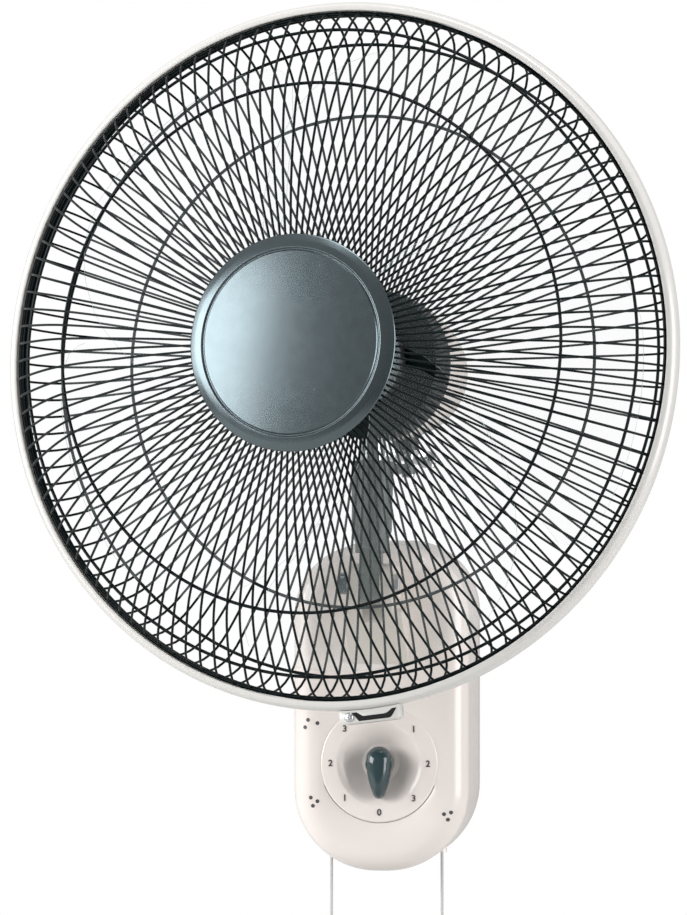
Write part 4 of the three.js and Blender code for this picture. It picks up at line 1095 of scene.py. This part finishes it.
def shadow_boat_line(inset):
    """The painted shadow's line: down one slanting end, along the foot and up the other end, like a small
    boat.
    """
    half = SHADOW_WIDTH / 2 - inset
    top = -RIM_RADIUS - 0.0016
    foot = -RIM_RADIUS - CLIP_HEIGHT + 0.0006 + inset
    corners = [(-half, top), (SHADOW_SLANT - half, foot), (half - SHADOW_SLANT, foot), (half, top)]
    return [(SHADOW_MIDDLE + x, z) for x, z in softened(corners, 0.002, closed=False, steps=5)]


def clip_painted_shadow():
    """The painted shadow of the gap under the clip, made as a thin black band raised on the clip's front, wide
    at its foot.
    """
    front = CLIP_FRONT + SHADOW_PROUD
    rear = front - SHADOW_DEEP
    code = bmesh.new()
    rows = []
    outer, inner = shadow_boat_line(0), shadow_boat_line(SHADOW_THICK)
    for points, forward in ((outer, front), (inner, front), (inner, rear), (outer, rear)):
        rows.append([code.verts.new((x, -forward, z)) for x, z in points])
    for low, high in zip(rows, [*rows[1:], rows[0]]):
        for a, b, c, d in zip(low, low[1:], high[1:], high):
            code.faces.new((a, b, c, d))
    code.faces.new([row[0] for row in rows])
    code.faces.new([row[-1] for row in rows])
    code.transform(CLIP_PLACE)
    return link_mesh("clip_painted_shadow", code, sharp=60)


def cross_head_screw():
    """A pan head on a straight shank, with a cross recess sunk into the head's crown."""
    face = CLIP_FRONT + 0.0003
    sections = [
        (0.0015, CLIP_REAR), (0.0015, face), (0.0028, face), (0.003, face + 0.0003),
        (0.0028, face + 0.0008), (0.0023, face + 0.0013), (0.0019, face + SCREW_CROWN),
    ]

    def cross(turn):
        return 0.0004 + 0.0012 * (0.5 + 0.5 * math.cos(4 * turn + 0.6)) ** 4

    loops = [round_loop(lambda turn: radius, forward, SCREW_STEPS) for radius, forward in sections]
    loops += [round_loop(cross, forward, SCREW_STEPS) for forward in (face + SCREW_CROWN, face + 0.0002)]
    middle = Vector((-SCREW_ASIDE, 0, -CLIP_TOP - CLIP_HEIGHT / 2))
    return lofted("cross_head_screw", loops, place=CLIP_PLACE @ Matrix.Translation(middle))


cream_ring = finish_of("cream_ring_gloss", (0.65, 0.64, 0.615), 0.25, spread=0.02, coat=0.3)
# Near-black paint for the clip's painted shadow.
painted_shadow_black = finish_of("painted_clip_shadow_black", (0.006, 0.006, 0.007), 0.5, spread=0.15, grain=1400, shine=0.15)
settle(trim_ring(), "head", "housing", "trim_ring", stuff=cream_ring)
settle(rim_clip(), "head", "housing", "rim_clip", stuff=cream_ring)
settle(clip_painted_shadow(), "head", "black_plastic", stuff=painted_shadow_black)
settle(cross_head_screw(), "head", "steel", "rim_screw", stuff=plated_steel)

# ---------------------------------------------------------------- front guard
# The front guard is a deeper basket of the same black wires. They are welded to a collar under the cap, to
# two hoops inside the basket and to a rim hoop that lies in the trim ring.
COLLAR_RADIUS = 0.058
COLLAR_HALF_WIDE = 0.0025
COLLAR_HALF_THICK = 0.0015
COLLAR_AHEAD = 0.084
FRONT_WIRE_LINE = [
    (0.060, 0.084), (0.112, 0.077), (0.167, 0.059), (0.204, 0.025), (0.215, 0.011), (0.2175, 0.003),
]
FRONT_HOOPS = {"inner": 0.167, "outer": 0.205}


def guard_collar():
    """A flat ring under the cap, which the wires end on."""
    inner, outer = COLLAR_RADIUS - COLLAR_HALF_WIDE, COLLAR_RADIUS + COLLAR_HALF_WIDE
    middle = RIM_AHEAD + COLLAR_AHEAD
    low, high = middle - COLLAR_HALF_THICK, middle + COLLAR_HALF_THICK
    profile = [(inner, low), (outer, low), (outer, high), (inner, high)]
    return turned("guard_collar", softened(profile, 0.0006), HEAD)


settle(wire_basket("front_wires", FRONT_WIRE_LINE), "head", "wire", "front_guard", stuff=black_wire)
settle(guard_collar(), "head", "wire", stuff=black_wire)
settle(wire_hoop("front_rim_hoop", RIM_HOOP, RIM_HOOP_OFF, RIM_HOOP_THICK), "head", "wire", stuff=black_wire)
guard_hoops("front", FRONT_WIRE_LINE, FRONT_HOOPS, -0.0020)

# ---------------------------------------------------------------- front cap
# The cap is a pressed disc in satin blue-grey paint with metal flake. Its face is gently crowned inside a
# fine ring groove, with a bevelled band outside it, and a spigot behind snaps into the guard's collar.
CAP_RADIUS = 0.0685
CAP_GROOVE = 0.0585
CAP_BACK = 0.1455
CAP_THICK = 0.008
CAP_CROWN = 0.0032
CROWN_STEPS = 14
CAP_SPIGOT = COLLAR_RADIUS - 0.0028
SPIGOT_WALL = 0.002
SPIGOT_LONG = 0.003


def front_cap():
    """The crowned face, the groove, two bevels down to the edge, and the spigot with its hollow behind."""
    face = CAP_BACK + CAP_THICK
    edge = face - CAP_CROWN
    groove_side = 0.0012
    crown = []
    for step in range(CROWN_STEPS + 1):
        radius = (CAP_GROOVE - groove_side) * step / CROWN_STEPS
        crown.append((radius, face - CAP_CROWN * (radius / CAP_GROOVE) ** 2))
    hollow = CAP_SPIGOT - SPIGOT_WALL
    foot = CAP_BACK - SPIGOT_LONG
    band = [
        (CAP_GROOVE - 0.0004, edge - 0.0009), (CAP_GROOVE + 0.0004, edge - 0.0009),
        (CAP_GROOVE + groove_side, edge), (CAP_RADIUS - 0.0045, edge - 0.0014),
        (CAP_RADIUS - 0.0005, edge - 0.0034), (CAP_RADIUS, CAP_BACK + 0.0007),
        (CAP_RADIUS - 0.0004, CAP_BACK), (CAP_SPIGOT, CAP_BACK), (CAP_SPIGOT, foot), (hollow, foot),
        (hollow, face - 0.0055), (0, face - 0.003),
    ]
    profile = [*crown, *softened([crown[-1], *band], 0.0008, closed=False)[1:]]
    return turned("satin_front_cap", profile, HEAD, steps=160, closed=False, sharp=40)


def satin_paint():
    """Satin paint with fine metal flake, which breaks the highlight into a soft grain."""
    stuff = finish_of(
        "satin_blue_grey", (0.108, 0.138, 0.150), 0.25, spread=0.05, cloud=45, grain=2600, depth=0.000004,
        metal=0.9, coat=0.25,
    )
    shader = stuff.node_tree.nodes["Principled BSDF"]
    shader.inputs["Coat Roughness"].default_value = 0.22
    return stuff


settle(front_cap(), "head", "cap", "front_cap", stuff=satin_paint())
